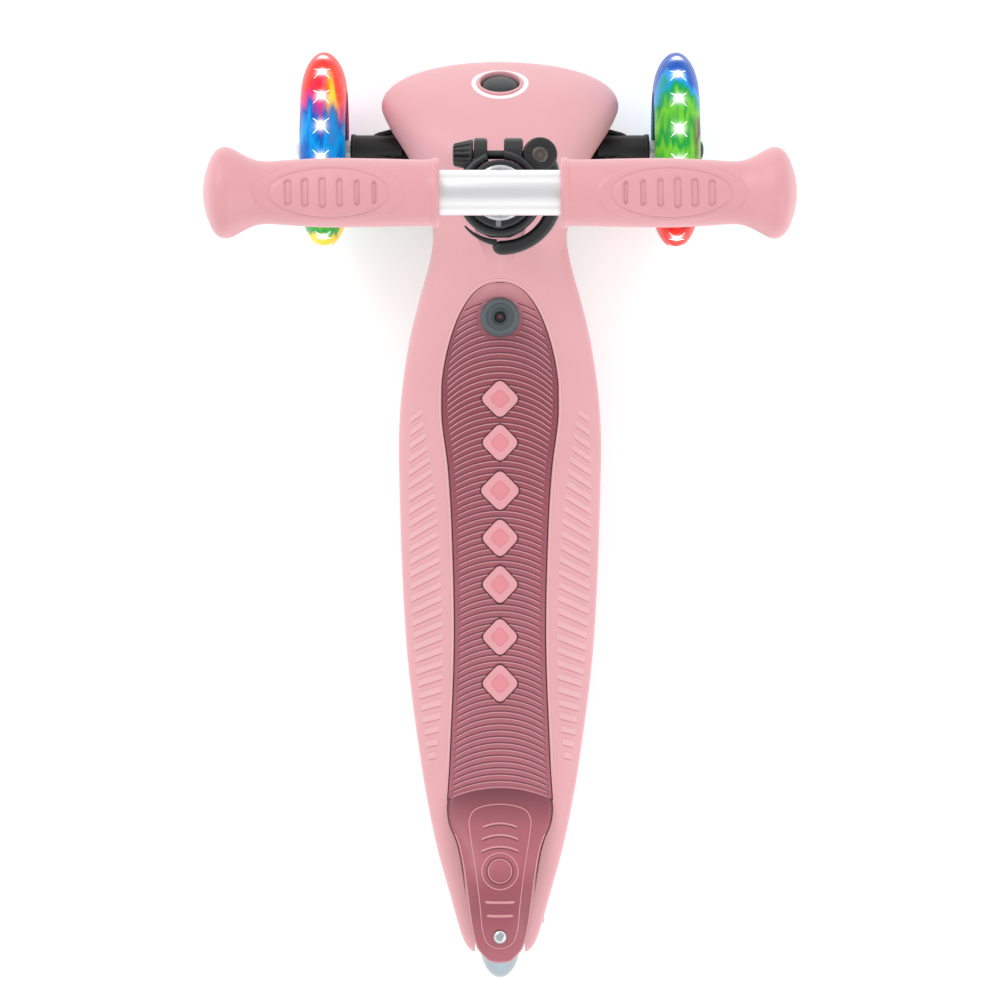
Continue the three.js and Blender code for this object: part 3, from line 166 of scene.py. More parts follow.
def moulded(name, colour, rough=0.42, grain=900, grain_depth=0.00006, mottling=0.03, wear=0.0, along=(),
            hollow=0.0, **sockets):
    """Moulded plastic or rubber: faint mottling, a fine grain and slightly uneven gloss.
    wear lightens edges, and hollow paints shade into hollows where the mesh is concave. along gives colours
    from the rear to the front, each with its place, and is used to paint shade along a part."""
    n = Nodes(name)
    mottle = n.noise(38, 4)
    base = n.ramp(mottle, [(0.3, shade(colour, 1 - mottling)), (0.7, shade(colour, 1 + mottling))])
    # along paints shade and light: colour that changes from the rear to the front of the part
    if along:
        parts = n.new("ShaderNodeSeparateXYZ")
        n.link(n.new("ShaderNodeTexCoord").outputs["Object"], parts.inputs[0])
        low, high = along[0][0], along[-1][0]
        place = n.math("MULTIPLY_ADD", parts.outputs[1], 1000 / (high - low), -low / (high - low))
        spread = n.ramp(place, [((y - low) / (high - low), c) for y, c in along])
        grey = n.ramp(mottle, [(0.3, (1 - mottling,) * 3 + (1,)), (0.7, (1, 1, 1, 1))])
        base = n.mix(1, spread, grey, "MULTIPLY")
    edge = n.new("ShaderNodeNewGeometry").outputs["Pointiness"]
    if wear:
        worn = n.ramp(edge, [(0.5, (0, 0, 0, 1)), (0.58, (wear, wear, wear, 1))])
        base = n.mix(worn, base, shade(colour, 1.6))
    # hollow paints shade: the colour darkens where pointiness is low, in grooves and hollows
    if hollow:
        painted_shade = n.ramp(edge, [(0.455, (hollow, hollow, hollow, 1)), (0.499, (0, 0, 0, 1))])
        base = n.mix(painted_shade, base, shade(colour, 0.68))
    n.link(base, n.shader.inputs["Base Color"])
    n.link(n.between(n.noise(120, 3), rough - 0.06, rough + 0.06), n.shader.inputs["Roughness"])
    n.bump(n.noise(grain, 2), 0.35, grain_depth)
    n.set(**sockets)
    return n.material


def metal(name, colour, rough, brushed, scale, streaks):
    """Metal with brushing or turning marks along one direction."""
    n = Nodes(name)
    streak = n.noise(scale, 3, brushed)
    n.link(n.ramp(streak, [(0.25, shade(colour, 1 - streaks)), (0.75, shade(colour, 1 + streaks))]),
           n.shader.inputs["Base Color"])
    n.link(n.between(streak, rough - 0.07, rough + 0.07), n.shader.inputs["Roughness"])
    n.bump(streak, 0.05, 0.00003)
    n.set(Metallic=1)
    return n.material


PINK = moulded("pink_plastic", linear(222, 164, 169), 0.4, grain=700, mottling=0.015, wear=0.25)
# a lighter copy of the pink plastic: painted highlight on the side ribs and the mat's lip
PINK_LIT = moulded("pink_plastic_painted_highlight", linear(226, 175, 179), 0.36, grain=700, mottling=0.015)
# dark lines under the side ribs' rear edges: painted shadow
PINK_SHADOW_PAINT = moulded("pink_plastic_painted_shadow", linear(210, 143, 149), 0.5, grain=700, mottling=0.02)
# the grip rubber: hollow paints shade into its grooves
GRIP = moulded("grip_rubber", linear(218, 154, 160), 0.4, grain=1600, grain_depth=0.0001, mottling=0.02,
               hollow=0.95, Sheen_Weight=0.12)
# painted shade along the mat: darkest near y = 70, where the deck starts to curve up to the bumper, lighter
# at the rear and towards the nose
MAT_PAINTED_SHADE = [
    (-168, linear(172, 100, 112)), (-60, linear(164, 92, 104)), (20, linear(152, 76, 89)),
    (70, linear(142, 66, 78)), (110, linear(150, 80, 92)), (126, linear(184, 114, 124)),
    (141, linear(204, 144, 150))]
MAT = moulded("mat_rubber", linear(158, 88, 99), 0.55, grain=1500, grain_depth=0.0001, mottling=0.06,
              along=MAT_PAINTED_SHADE)
# light crest lines and the mat's rear lip: painted highlight
MAT_HIGHLIGHT_PAINT = moulded("mat_rubber_painted_highlight", linear(206, 148, 155), 0.42, grain=1500, mottling=0.06)
# dark lines in the ridge valleys: painted shade
MAT_SHADE_PAINT = moulded("mat_rubber_painted_shade", linear(112, 58, 68), 0.6, grain=1500, mottling=0.06)
MOTIF = moulded("mat_motif", linear(222, 156, 162), 0.48, grain=1200, mottling=0.02)
MOTIF_DEEP = moulded("mat_motif_deep", linear(222, 138, 147), 0.5, grain=1200, mottling=0.03)
# a dark line where the mat meets its recess and round the lozenges: painted shadow
GAP_SHADOW_PAINT = moulded("mat_gap_painted_shadow", linear(74, 36, 42), 0.7, grain=1500)
# the brake's colours along its length are painted shade: darkest at the front edge by the mat, darker over
# the bars, lighter round the ring and at the tail
BRAKE = moulded("brake_plastic", linear(170, 94, 106), 0.4, grain=800, mottling=0.04, wear=0.2, along=[
    (-276, linear(176, 102, 112)), (-262, linear(168, 92, 104)), (-242, linear(148, 78, 90)),
    (-228, linear(154, 80, 91)), (-214, linear(174, 95, 107)), (-192, linear(166, 90, 102)),
    (-180, linear(140, 72, 83)), (-168, linear(112, 56, 66))])
# lighter copy of the brake plastic: painted highlight on its raised lines and along its rim
BRAKE_HIGHLIGHT_PAINT = moulded("brake_plastic_painted_highlight", linear(208, 144, 151), 0.36, grain=800)
# dark lines beside the brake's arcs and ring: painted shadow
BRAKE_SHADOW_PAINT = moulded("brake_plastic_painted_shadow", linear(118, 60, 70), 0.5, grain=800)
BLACK = moulded("black_plastic", linear(32, 33, 35), 0.34, grain=1100, grain_depth=0.0001, mottling=0.12,
                wear=0.08)
BLACK_ARM = moulded("black_arm_plastic", linear(16, 16, 18), 0.46, grain=1100, grain_depth=0.0001,
                    mottling=0.12)
BLACK_GLOSS = moulded("black_button", linear(34, 36, 38), 0.24, grain=2200, mottling=0.08)
# the bumper rubber: hollow paints shade into its rings and socket
GREY_RUBBER = moulded("bumper_rubber", linear(82, 91, 94), 0.5, grain=1500, grain_depth=0.0001,
                      mottling=0.08, hollow=0.6)
WHITE_RING = moulded("white_print", linear(248, 247, 247), 0.45, grain=700, mottling=0.01)
GREY_MARK = moulded("grey_mark", linear(120, 132, 140), 0.4, grain=900)
ALUMINIUM_X = metal("bar_aluminium", linear(236, 236, 237), 0.38, (0.03, 1, 1), 700, 0.012)
ALUMINIUM_Z = metal("tube_aluminium", linear(196, 198, 202), 0.28, (1, 1, 0.04), 900, 0.02)
STEEL = metal("zinc_steel", linear(196, 200, 206), 0.3, (1, 1, 1), 260, 0.08)
DARK_STEEL = metal("black_steel", linear(70, 73, 76), 0.42, (1, 1, 1), 320, 0.12)
PIN_STEEL = metal("pin_steel", linear(104, 98, 92), 0.5, (1, 1, 1), 320, 0.12)
CHROME = metal("chromed_steel", linear(205, 212, 216), 0.14, (1, 1, 1), 200, 0.02)


def cast_urethane(name, body_colour, rough=0.12):
    """Cast urethane: tinted and cloudy, with painted shade where it is seen edge on and painted light where
    it faces the camera.
    """
    n = Nodes(name)
    # painted light and shade: the tint goes lighter facing the camera and dark towards the silhouette
    depth = n.new("ShaderNodeLayerWeight", Blend=0.3).outputs["Facing"]
    tint = n.mix(depth, shade(body_colour, 1.15), shade(body_colour, 0.3))
    cloud = n.ramp(n.noise(60, 4), [(0.3, (0.82, 0.82, 0.82, 1)), (0.7, (1, 1, 1, 1))])
    n.link(n.mix(0.6, tint, cloud, "MULTIPLY"), n.shader.inputs["Base Color"])
    n.link(n.between(n.noise(300, 3), rough - 0.04, rough + 0.08), n.shader.inputs["Roughness"])
    n.bump(n.noise(240, 2), 0.08, 0.0002)
    n.set(Specular_IOR_Level=0.12, Coat_Weight=0.1, Coat_Roughness=0.06)
    return n.material


REAR_TYRE = cast_urethane("rear_tyre_urethane", linear(186, 203, 211))

LIGHT_COUNT = 19
LIGHTS_LEFT, LIGHTS_RIGHT = 45.8, 43.8  # degrees from the top to the first light
GLOW_RADIUS = 3.3
PATCH_HALF, PATCH_TURNS = 3.5, 0.03


def swirled_tyre(name, centre, stops, first_light, patch_x, patch_turn, patch_colour):
    """Clear urethane over coloured swirls, lit from inside by lights spread evenly round the tread."""
    n = Nodes(name)
    where = n.new("ShaderNodeTexCoord").outputs["Object"]
    parts = n.new("ShaderNodeSeparateXYZ")
    n.link(where, parts.inputs[0])
    x = n.math("SUBTRACT", parts.outputs[0], centre[0] * MM)
    y = n.math("SUBTRACT", parts.outputs[1], centre[1] * MM)
    z = n.math("SUBTRACT", parts.outputs[2], centre[2] * MM)
    # turn is 0 at the top and grows towards the front
    turn = n.math("DIVIDE", n.math("ARCTAN2", y, z), TURN)
    flow = n.math("SUBTRACT", n.noise(26, 3, (2.2, 1, 1)), 0.5)
    fine = n.math("SUBTRACT", n.noise(230, 2, (1, 0.12, 0.12)), 0.5)
    place = n.math("MULTIPLY_ADD", flow, 0.2, n.math("ADD", turn, 0.5))
    place = n.math("MULTIPLY_ADD", fine, 0.14, place)
    colour = n.ramp(n.math("FRACT", place), stops)
    across = n.math("MULTIPLY_ADD", x, 1 / (PATCH_HALF * MM), -patch_x / PATCH_HALF)
    round_it = n.math("MULTIPLY_ADD", place, 1 / PATCH_TURNS, -(patch_turn + 0.5) / PATCH_TURNS)
    spread = n.math("ADD", n.math("MULTIPLY", across, across), n.math("MULTIPLY", round_it, round_it))
    colour = n.mix(n.math("EXPONENT", n.math("MULTIPLY", spread, -1)), colour, patch_colour)
    radius = n.math("SQRT", n.math("ADD", n.math("MULTIPLY", y, y), n.math("MULTIPLY", z, z)))
    cell = n.math("FRACT",
                  n.math("MULTIPLY_ADD", turn, LIGHT_COUNT, 50.5 - first_light / 360 * LIGHT_COUNT))
    run = n.math("MULTIPLY", n.math("SUBTRACT", cell, 0.5), TURN / LIGHT_COUNT)
    run = n.math("MULTIPLY", run, radius)
    away = n.math("ADD", n.math("MULTIPLY", run, run), n.math("MULTIPLY", x, x))
    glow = n.math("EXPONENT", n.math("DIVIDE", away, -((GLOW_RADIUS * MM) ** 2)))
    glow = n.math("MULTIPLY", glow, n.math("GREATER_THAN", radius, 0.05))
    n.link(n.mix(n.math("MULTIPLY", glow, 0.85), colour, (1, 1, 1, 1)), n.shader.inputs["Base Color"])
    n.link(n.mix(glow, colour, (1, 1, 1, 1)), n.shader.inputs["Emission Color"])
    n.link(n.math("MULTIPLY_ADD", glow, 0.7, 0.12), n.shader.inputs["Emission Strength"])
    n.link(n.between(n.noise(300, 2), 0.22, 0.34), n.shader.inputs["Roughness"])
    n.bump(n.noise(200, 2), 0.06, 0.0002)
    n.set(Specular_IOR_Level=0.06, Coat_Weight=0.04, Coat_Roughness=0.05)
    return n.material


RED, YELLOW = linear(236, 40, 28), linear(250, 214, 40)
MAGENTA, BLUE, SKY = linear(224, 24, 120), linear(0, 78, 172), linear(0, 150, 226)
GREEN, LIME, MAROON = linear(10, 150, 66), linear(112, 196, 50), linear(110, 20, 44)
TYRE_LEFT = swirled_tyre("tyre_left_urethane", (-TRACK / 2, *FRONT_AXLE[1:]), [
    (0.0, GREEN), (0.12, LIME), (0.2, SKY), (0.24, YELLOW), (0.29, YELLOW), (0.31, GREEN), (0.36, LIME),
    (0.4, SKY), (0.46, BLUE), (0.5, SKY), (0.54, BLUE), (0.57, MAGENTA), (0.6, RED), (0.8, RED),
    (0.9, MAGENTA), (1.0, BLUE)], LIGHTS_LEFT, 6.5, 0.075, YELLOW)
TYRE_RIGHT = swirled_tyre("tyre_right_urethane", (TRACK / 2, *FRONT_AXLE[1:]), [
    (0.0, MAROON), (0.12, RED), (0.33, RED), (0.38, MAROON), (0.43, GREEN), (0.49, LIME), (0.52, GREEN),
    (0.56, LIME), (0.585, GREEN), (0.605, SKY), (0.635, BLUE), (0.84, BLUE), (0.92, SKY), (1.0, GREEN)],
    LIGHTS_RIGHT, 13, 0.02, MAROON)


def lit(name, colour, strength):
    n = Nodes(name)
    centre = n.ramp(n.noise(500, 1), [(0.2, shade(colour, 0.92)), (0.8, colour)])
    n.link(centre, n.shader.inputs["Base Color"])
    n.link(centre, n.shader.inputs["Emission Color"])
    n.set(Emission_Strength=strength, Roughness=0.3)
    return n.material


STAR = lit("light_star", (1, 1, 1, 1), 2.4)
LIGHT_RING = lit("light_strip", linear(226, 232, 236), 0.25)


# ---------------------------------------------------------------- mesh helpers
def build(name, verts, faces, place=None, mend=True):
    """An object from points in millimetres, its faces turned outwards."""
    place = place or Matrix()
    mesh = bpy.data.meshes.new(name)
    mesh.from_pydata([(place @ Vector(v)) * MM for v in verts], [], faces)
    bm = bmesh.new()
    bm.from_mesh(mesh)
    if mend:
        bmesh.ops.remove_doubles(bm, verts=bm.verts, dist=1e-6)
        bmesh.ops.recalc_face_normals(bm, faces=bm.faces)
    bm.to_mesh(mesh)
    bm.free()
    ob = bpy.data.objects.new(name, mesh)
    bpy.context.scene.collection.objects.link(ob)
    return ob


def quads(rows, n, wrap=True, closed=True, first=0, flip=False):
    """The faces between rows of n points. wrap joins the last row to the first, closed does so in a row."""
    faces = []
    for i in range(rows if wrap else rows - 1):
        a, b = first + i * n, first + (i + 1) % rows * n
        for k in range(n if closed else n - 1):
            m = (k + 1) % n
            faces.append((a + k, b + k, b + m, a + m) if flip else (a + k, a + m, b + m, b + k))
    return faces


def span(side, a, b):
    """The two ends of a stretch on one side, the lower first."""
    return sorted((side * a, side * b))


def dress(ob, material, body, replaces=(), sharp=38):
    """Gives a piece its finish, smooth shading and the body it rides on."""
    ob.data.materials.clear()
    ob.data.materials.append(material)
    ob.data.polygons.foreach_set("material_index", [0] * len(ob.data.polygons))
    ob.data.shade_smooth()
    ob.data.set_sharp_from_angle(angle=math.radians(sharp))
    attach(ob, body)
    if replaces:
        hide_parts(*replaces)
    return ob


def dress_all(pieces, body):
    for piece, material in pieces:
        dress(piece, material, body)


def carve(ob, cutters, operation="DIFFERENCE"):
    for cutter in cutters:
        modifier = ob.modifiers.new("cut", "BOOLEAN")
        modifier.object, modifier.operation, modifier.solver = cutter, operation, "MANIFOLD"
    made = bpy.data.meshes.new_from_object(ob.evaluated_get(bpy.context.evaluated_depsgraph_get()))
    ob.modifiers.clear()
    ob.data = made
    for cutter in cutters:
        bpy.data.objects.remove(cutter)
    return ob


def rounded(ob, width, segments=3, angle=30):
    """Rounds the edges sharper than an angle."""
    bm = bmesh.new()
    bm.from_mesh(ob.data)
    edges = [e for e in bm.edges if len(e.link_faces) == 2 and e.calc_face_angle(0) > math.radians(angle)]
    bmesh.ops.bevel(bm, geom=edges, offset=width * MM, segments=segments, affect="EDGES",
                    clamp_overlap=True)
    bm.to_mesh(ob.data)
    bm.free()
    return ob


def fillet(points, radius, steps=4, closed=True):
    """Rounds the corners of an outline of (a, b) points. radius is one number or one for each corner."""
    count = len(points)
    radii = radius if isinstance(radius, (list, tuple)) else [radius] * count
    out = []
    for i, p in enumerate(points):
        if not closed and i in (0, count - 1):
            out.append(tuple(p))
            continue
        p = Vector(p)
        before, after = Vector(points[i - 1]) - p, Vector(points[(i + 1) % count]) - p
        reach = min(radii[i], before.length * 0.45, after.length * 0.45)
        if reach < 1e-4:
            out.append(tuple(p))
            continue
        a, b = p + before.normalized() * reach, p + after.normalized() * reach
        for k in range(steps + 1):
            t = k / steps
            out.append(tuple(a * (1 - t) ** 2 + p * 2 * t * (1 - t) + b * t**2))
    return out


def turned(name, outline, axis="z", centre=(0, 0, 0), sides=96, start=0, end=360, place=None, closed=True):
    """A body of revolution of (radius, place along the axis) points."""
    full = abs(end - start) >= 360
    count = sides if full else sides + 1
    verts, n = [], len(outline)
    for i in range(count):
        angle = math.radians(start + (end - start) * i / sides)
        c, s = math.cos(angle), math.sin(angle)
        for r, a in outline:
            p = {"x": (a, r * c, r * s), "y": (r * s, a, r * c), "z": (r * c, r * s, a)}[axis]
            verts.append(Vector(p) + Vector(centre))
    faces = quads(count, n, full, closed)
    if not full and closed:
        faces += [tuple(range(n)), tuple(range((count - 1) * n, count * n))]
    return build(name, verts, faces, place)


def rod(name, radius, low, high, axis="z", centre=(0, 0, 0), sides=64, edge=0.5, place=None, bore=0):
    """A round bar or tube with rounded ends."""
    if bore:
        outline = fillet([(bore, low), (radius, low), (radius, high), (bore, high)], edge, 3)
    else:
        outline = fillet([(0, low), (radius, low), (radius, high), (0, high)], edge, 3, False)
    return turned(name, outline, axis, centre, sides, place=place, closed=bool(bore))


def prism(name, outline, low, high, axis="z", edge=0.8, segments=3, place=None):
    """A flat outline made thick along z or x, with rounded edges."""
    put = (lambda a, b, c: (a, b, c)) if axis == "z" else (lambda a, b, c: (c, a, b))
    n = len(outline)
    verts = [put(a, b, low) for a, b in outline] + [put(a, b, high) for a, b in outline]
    faces = [tuple(range(n)), tuple(range(n, 2 * n))]
    faces += [(i, (i + 1) % n, n + (i + 1) % n, n + i) for i in range(n)]
    ob = build(name, verts, faces, place)
    return rounded(ob, edge, segments) if edge else ob


def block(name, x0, x1, y0, y1, z0, z1, edge=0, place=None):
    return prism(name, [(x0, y0), (x1, y0), (x1, y1), (x0, y1)], z0, z1, edge=edge, place=place)


def arc(x, y, radius, start, end, steps):
    angles = [math.radians(start + (end - start) * i / steps) for i in range(steps + 1)]
    return [(x + radius * math.cos(a), y + radius * math.sin(a)) for a in angles]


def smooth(points):
    """A smooth function through (place, value) points, flat beyond its ends."""
    def slope(i):
        a, b = points[max(i - 1, 0)], points[min(i + 1, len(points) - 1)]
        return (b[1] - a[1]) / (b[0] - a[0])

    slopes = [slope(i) for i in range(len(points))]

    def value(place):
        i = 0
        while i < len(points) - 2 and points[i + 1][0] <= place:
            i += 1
        (x0, y0), (x1, y1) = points[i], points[i + 1]
        t = min(max((place - x0) / (x1 - x0), 0), 1)
        m0, m1 = slopes[i] * (x1 - x0), slopes[i + 1] * (x1 - x0)
        t2, t3 = t * t, t**3
        ends = (2 * t3 - 3 * t2 + 1) * y0 + (3 * t2 - 2 * t3) * y1
        return ends + (t3 - 2 * t2 + t) * m0 + (t3 - t2) * m1

    return value


def skin(name, rings, close=True, ends=True):
    """A skin over rings of points that all have the same count."""
    n = len(rings[0])
    faces = quads(len(rings), n, False, close)
    if ends:
        faces += [tuple(range(n)), tuple(range((len(rings) - 1) * n, len(rings) * n))]
    return build(name, [p for ring in rings for p in ring], faces)


def resampled(points, step, closed=False):
    """Points spaced evenly along a polyline."""
    points = [Vector(p) for p in points]
    if closed:
        points.append(points[0])
    lengths = [0]
    for a, b in zip(points, points[1:]):
        lengths.append(lengths[-1] + (b - a).length)
    count = max(int(lengths[-1] / step), 2)
    out, k = [], 0
    for i in range(count if closed else count + 1):
        want = lengths[-1] * i / count
        while k < len(points) - 2 and lengths[k + 1] < want:
            k += 1
        t = (want - lengths[k]) / max(lengths[k + 1] - lengths[k], 1e-9)
        out.append(points[k].lerp(points[k + 1], t))
    return out


def beads(name, paths, width, height, top, closed=False, sink=0.35, step=0.9):
    """Raised lines that follow (x, y) paths over a surface of height top(x, y)."""
    section = [(-0.5, -sink), (-0.36, 0.72 * height), (0, height), (0.36, 0.72 * height), (0.5, -sink)]
    verts, faces = [], []
    for path in paths:
        points = resampled(path, step, closed)
        n, first = len(points), len(verts)
        for i, p in enumerate(points):
            before = points[i - 1] if closed or i else p
            after = points[(i + 1) % n] if closed or i < n - 1 else p
            along = (after - before).normalized()
            across = Vector((-along.y, along.x))
            end = 1 if closed else min(i, n - 1 - i) / 1.2
            taper = min(end + 0.02, 1)
            for a, b in section:
                q = p + across * a * width * (0.6 + 0.4 * taper)
                verts.append((q.x, q.y, top(q.x, q.y) + (b if b < 0 else b * taper)))
        m = len(section)
        faces += quads(n, m, closed, False, first, flip=True)
        if not closed:
            faces += [tuple(range(first, first + m)), tuple(range(first + (n - 1) * m, first + n * m))]
    return build(name, verts, faces)


def patch(name, outlines, height, top, rings=6, skirt=1.2, edge=0.4):
    """Raised shapes that follow a surface. Each outline is a list of (x, y) points seen from its middle."""
    verts, faces = [], []
    for outline in outlines:
        middle = sum((Vector(p) for p in outline), Vector((0, 0))) / len(outline)
        n, first = len(outline), len(verts)
        size = max((Vector(p) - middle).length for p in outline)
        shares = [0.02] + [i / rings for i in range(1, rings)] + [1 - edge / size, 1, 1]
        for i, share in enumerate(shares):
            low = -skirt if i == len(shares) - 1 else height - (0.3 * height if i == len(shares) - 2 else 0)
            for p in outline:
                q = middle.lerp(Vector(p), share)
                verts.append((q.x, q.y, top(q.x, q.y) + low))
        faces += quads(len(shares), n, False, True, first)
        faces.append(tuple(range(first, first + n)))
    return build(name, verts, faces)


# ---------------------------------------------------------------- the deck's form
plan = smooth([(-269, 17.2), (-266.5, 19.8), (-263, 22), (-258, 24), (-237, 30), (-200, 40), (-151, 49),
               (-77.2, 58), (33.1, 62.5), (69.9, 61.3), (107, 56), (131.8, 49.9), (156.5, 43.1),
               (172.6, 41.3), (193, 45.3), (215, 54.3), (236.6, 67.5), (246, 72.3), (251, 73)])
spine = smooth([(-269, 58), (-237, 63), (-200, 65.5), (-168, 66), (-77.2, 65.5), (0, 66), (41.6, 67.2),
                (70, 69.5), (95, 74.5), (120, 82), (141, 87.5), (163, 93.5), (178, 103), (193, 111),
                (205, 116), (215, 118)])
rim = smooth([(-269, 32), (-216, 30), (-151.7, 32), (107, 32), (172.6, 42), (215, 50), (246, 50),
              (282.5, 40)])
squareness = smooth([(-269, 3.4), (36.9, 4.2), (145.5, 3.2), (225.5, 2.35), (282.5, 2.2)])
shoulder_share = smooth([(-269, 0.6), (36.9, 0.6), (225.5, 0.45), (282.5, 0.4)])
HOOD_TOP, HOOD_RIM = 118, 44


def half_width(y):
    share = min(max((y - NOSE_START) / (NOSE - NOSE_START), 0), 1)
    return plan(y) * math.sqrt(1 - share**2.2)


def crown(y):
    if y <= HOOD_TOP_Y:
        return spine(y)
    share = min((y - HOOD_TOP_Y) / (NOSE - HOOD_TOP_Y), 1)
    return HOOD_RIM + (HOOD_TOP - HOOD_RIM) * (1 - share**1.7) ** (1 / 1.5)


def shoulder(y):
    return rim(y) + shoulder_share(y) * max(crown(y) - rim(y), 2)


def deck_top(x, y):
    n = squareness(y)
    share = max(1 - abs(x / max(half_width(y), 0.01)) ** n, 0)
    return shoulder(y) + (crown(y) - shoulder(y)) * share ** (1 / n)


def deck_ring(y, count, inset=0, drop=0, below=0):
    n = squareness(y)
    width, low, base = half_width(y) - inset, rim(y) - below, shoulder(y)
    height = crown(y) - drop - base
    angle = np.linspace(0, math.pi, 900)
    c, s = np.cos(angle), np.abs(np.sin(angle))
    x = width * np.sign(c) * np.abs(c) ** (2 / n)
    z = base + height * s ** (2 / n)
    run = np.concatenate([[0], np.cumsum(np.hypot(np.diff(x), np.diff(z)))])
    even = np.linspace(0, run[-1], count)
    top = [(float(a), y, float(b)) for a, b in zip(np.interp(even, run, x), np.interp(even, run, z))]
    sides = []
    for t in (0.2, 0.4, 0.6, 0.8, 0.94, 1):
        pull = 1 - (1 - 0.93) * t - (0.012 if t == 1 else 0)
        sides.append((pull * width, base + (low - base) * t))
    left = [(-a, y, b) for a, b in sides]
    right = [(a, y, b) for a, b in reversed(sides)]
    return [*top, *left, *right]


def cavity():
    ys = [*np.linspace(-230, 70, 34), *np.linspace(76, 274.5, 40)]
    fall = lambda y: min(math.hypot(1, crown(y - 0.5) - crown(y + 0.5)), 2.2)
    hollow = skin("cavity", [deck_ring(float(y), 48, 3.2, 4.8 * fall(float(y)), 6) for y in ys])
    solid = [block("rib", -80, 80, y, y + 3, 35, 120) for y in np.linspace(-142, 129.5, 7)[:6]]
    solid += [
        block("spine_rib", -1.5, 1.5, -172, 133.5, 35, 120),
        block("tail_block", -19, 19, -270, -172, 0, 120),
        block("hinge_block", -80, 80, -186, -167, 57, 120),
        rod("bumper_post", 14.5, 35, 120, centre=(0, BUMPER_Y, 0), sides=48, edge=0),
        block("pocket_wall", -24.5, 24.5, 165.9, 212.6, 81.9, 127),
        rod("post_left", 5.2, 41.3, 120, centre=(-26, 168.5, 0), sides=32, edge=0),
        rod("post_right", 5.2, 41.3, 120, centre=(26, 168.5, 0), sides=32, edge=0),
    ]
    return carve(hollow, solid)


# The fold button stands on the sloping nose.
BUTTON_SLOPE = math.atan((crown(BUTTON_Y - 1) - crown(BUTTON_Y + 1)) / 2)
NOSE_PLACE = (Matrix.Translation((0, BUTTON_Y, crown(BUTTON_Y))) @ Matrix.Rotation(-BUTTON_SLOPE, 4, "X"))

mat_plan = smooth([(-175, 31.8), (-148, 30.1), (-77.2, 27.6), (-10.3, 29), (28.4, 31.4), (58.1, 35.1),
                   (MAT_NARROWS, MAT_HALF)])
MAT_NOSE = MAT_FRONT - MAT_NARROWS


def mat_half(y):
    share = min(max((y - MAT_NARROWS) / MAT_NOSE, 0), 1)
    return MAT_HALF * (1 - share**1.45) ** 0.42 if share > 0 else mat_plan(y)


NOSE_STEPS = [MAT_NARROWS + MAT_NOSE * s for s in np.sin(np.linspace(0, math.pi / 2, 26))[:-1]] + [MAT_TIP]


def rear_edge(half_angle):
    """The bowed line between the mat and the brake."""
    return arc(0, MAT_REAR - MAT_REAR_BOW, MAT_REAR_BOW, 90 + half_angle, 90 - half_angle, 24)


def mat_outline(grow, count=90):
    """The mat's outline seen from above, its rear edge bowed forward."""
    rear_corner = MAT_REAR - (MAT_REAR_BOW - math.sqrt(MAT_REAR_BOW**2 - 31.5**2))
    right = []
    for y in [*np.linspace(rear_corner, 76, count), *NOSE_STEPS]:
        wider, further = grow * min((141.2 - y) / 6, 1), grow * max((y - 129) / 12, 0)
        right.append((mat_half(float(y)) + wider, float(y) + further))
    left = [(-x, y) for x, y in reversed(right)]
    return right + left + rear_edge(24.5)[1:-1]


def recess(grow, depth):
    """A cutter that follows the deck's top, a depth below it."""
    rings = []
    for y in [*np.linspace(-176, 76, 120), *NOSE_STEPS, MAT_FRONT + grow * 0.3]:
        y = float(y)
        half = mat_half(min(y, MAT_TIP)) + grow
        across = [half * t / 12 for t in range(-12, 13)]
        floor_line = [(x, y, deck_top(x, y) - depth) for x in across]
        rings.append(floor_line + [(x, y, deck_top(x, y) + 20) for x in reversed(across)])
    return skin("recess", rings)


BRAKE_TIP = -274.4
brake_plan = smooth([
    (BRAKE_TIP, 2.5), (-273.2, 6.6), (-271, 9.2), (-268, 12), (-265, 14.1), (-255.5, 16.9), (-236, 19.8),
    (-216, 22.6), (-202, 25.6), (-191, 30), (-183, 31.4), (-177, 31.2), (-170, 29.5)])
brake_spine = smooth([(-274.5, 79.5), (-268, 83.5), (-256, 88.5), (-242, 90.5), (-226, 89), (-208, 83),
                      (-192, 75), (-178, 70), (-170, 68.6)])
brake_drop = smooth([(-210, 5.5), (-186, 1.6), (-168, 1.2)])


def brake_top(x, y):
    return brake_spine(y) - brake_drop(y) * min(abs(x) / max(brake_plan(y), 18), 1) ** 4


def brake_shell(name, grow, thickness, rows=90, across=40):
    """The brake's cover. grow makes it larger all round, as the cutter for its seat."""
    front = lambda x: MAT_REAR - MAT_REAR_BOW + math.sqrt(max((MAT_REAR_BOW - 0.3 + grow) ** 2 - x * x, 0))
    rounding = lip = 0
    rings = []
    for i in range(rows + 1):
        t = 1 - math.cos(i / rows * math.pi / 2) ** 1.4
        row = []
        for k in range(across + 1):
            s = math.sin((k / across - 0.5) * math.pi)
            y = BRAKE_TIP - grow + t * (front(s * 29.5) - BRAKE_TIP + grow)
            half = brake_plan(y) + grow
            x = s * half
            if not grow:
                rounding = 0.9 * (1 - math.cos(min(max(abs(s) - 0.93, 0) / 0.07, 1) * math.pi / 2))
                lip = 0.9 * max(1 - i / 3, 0) ** 2
            row.append((x, y, brake_top(x, y) + grow - rounding - lip))
        low = [(x, y, z - thickness - grow) for x, y, z in reversed(row)]
        rings.append(row + low)
    return skin(name, rings)


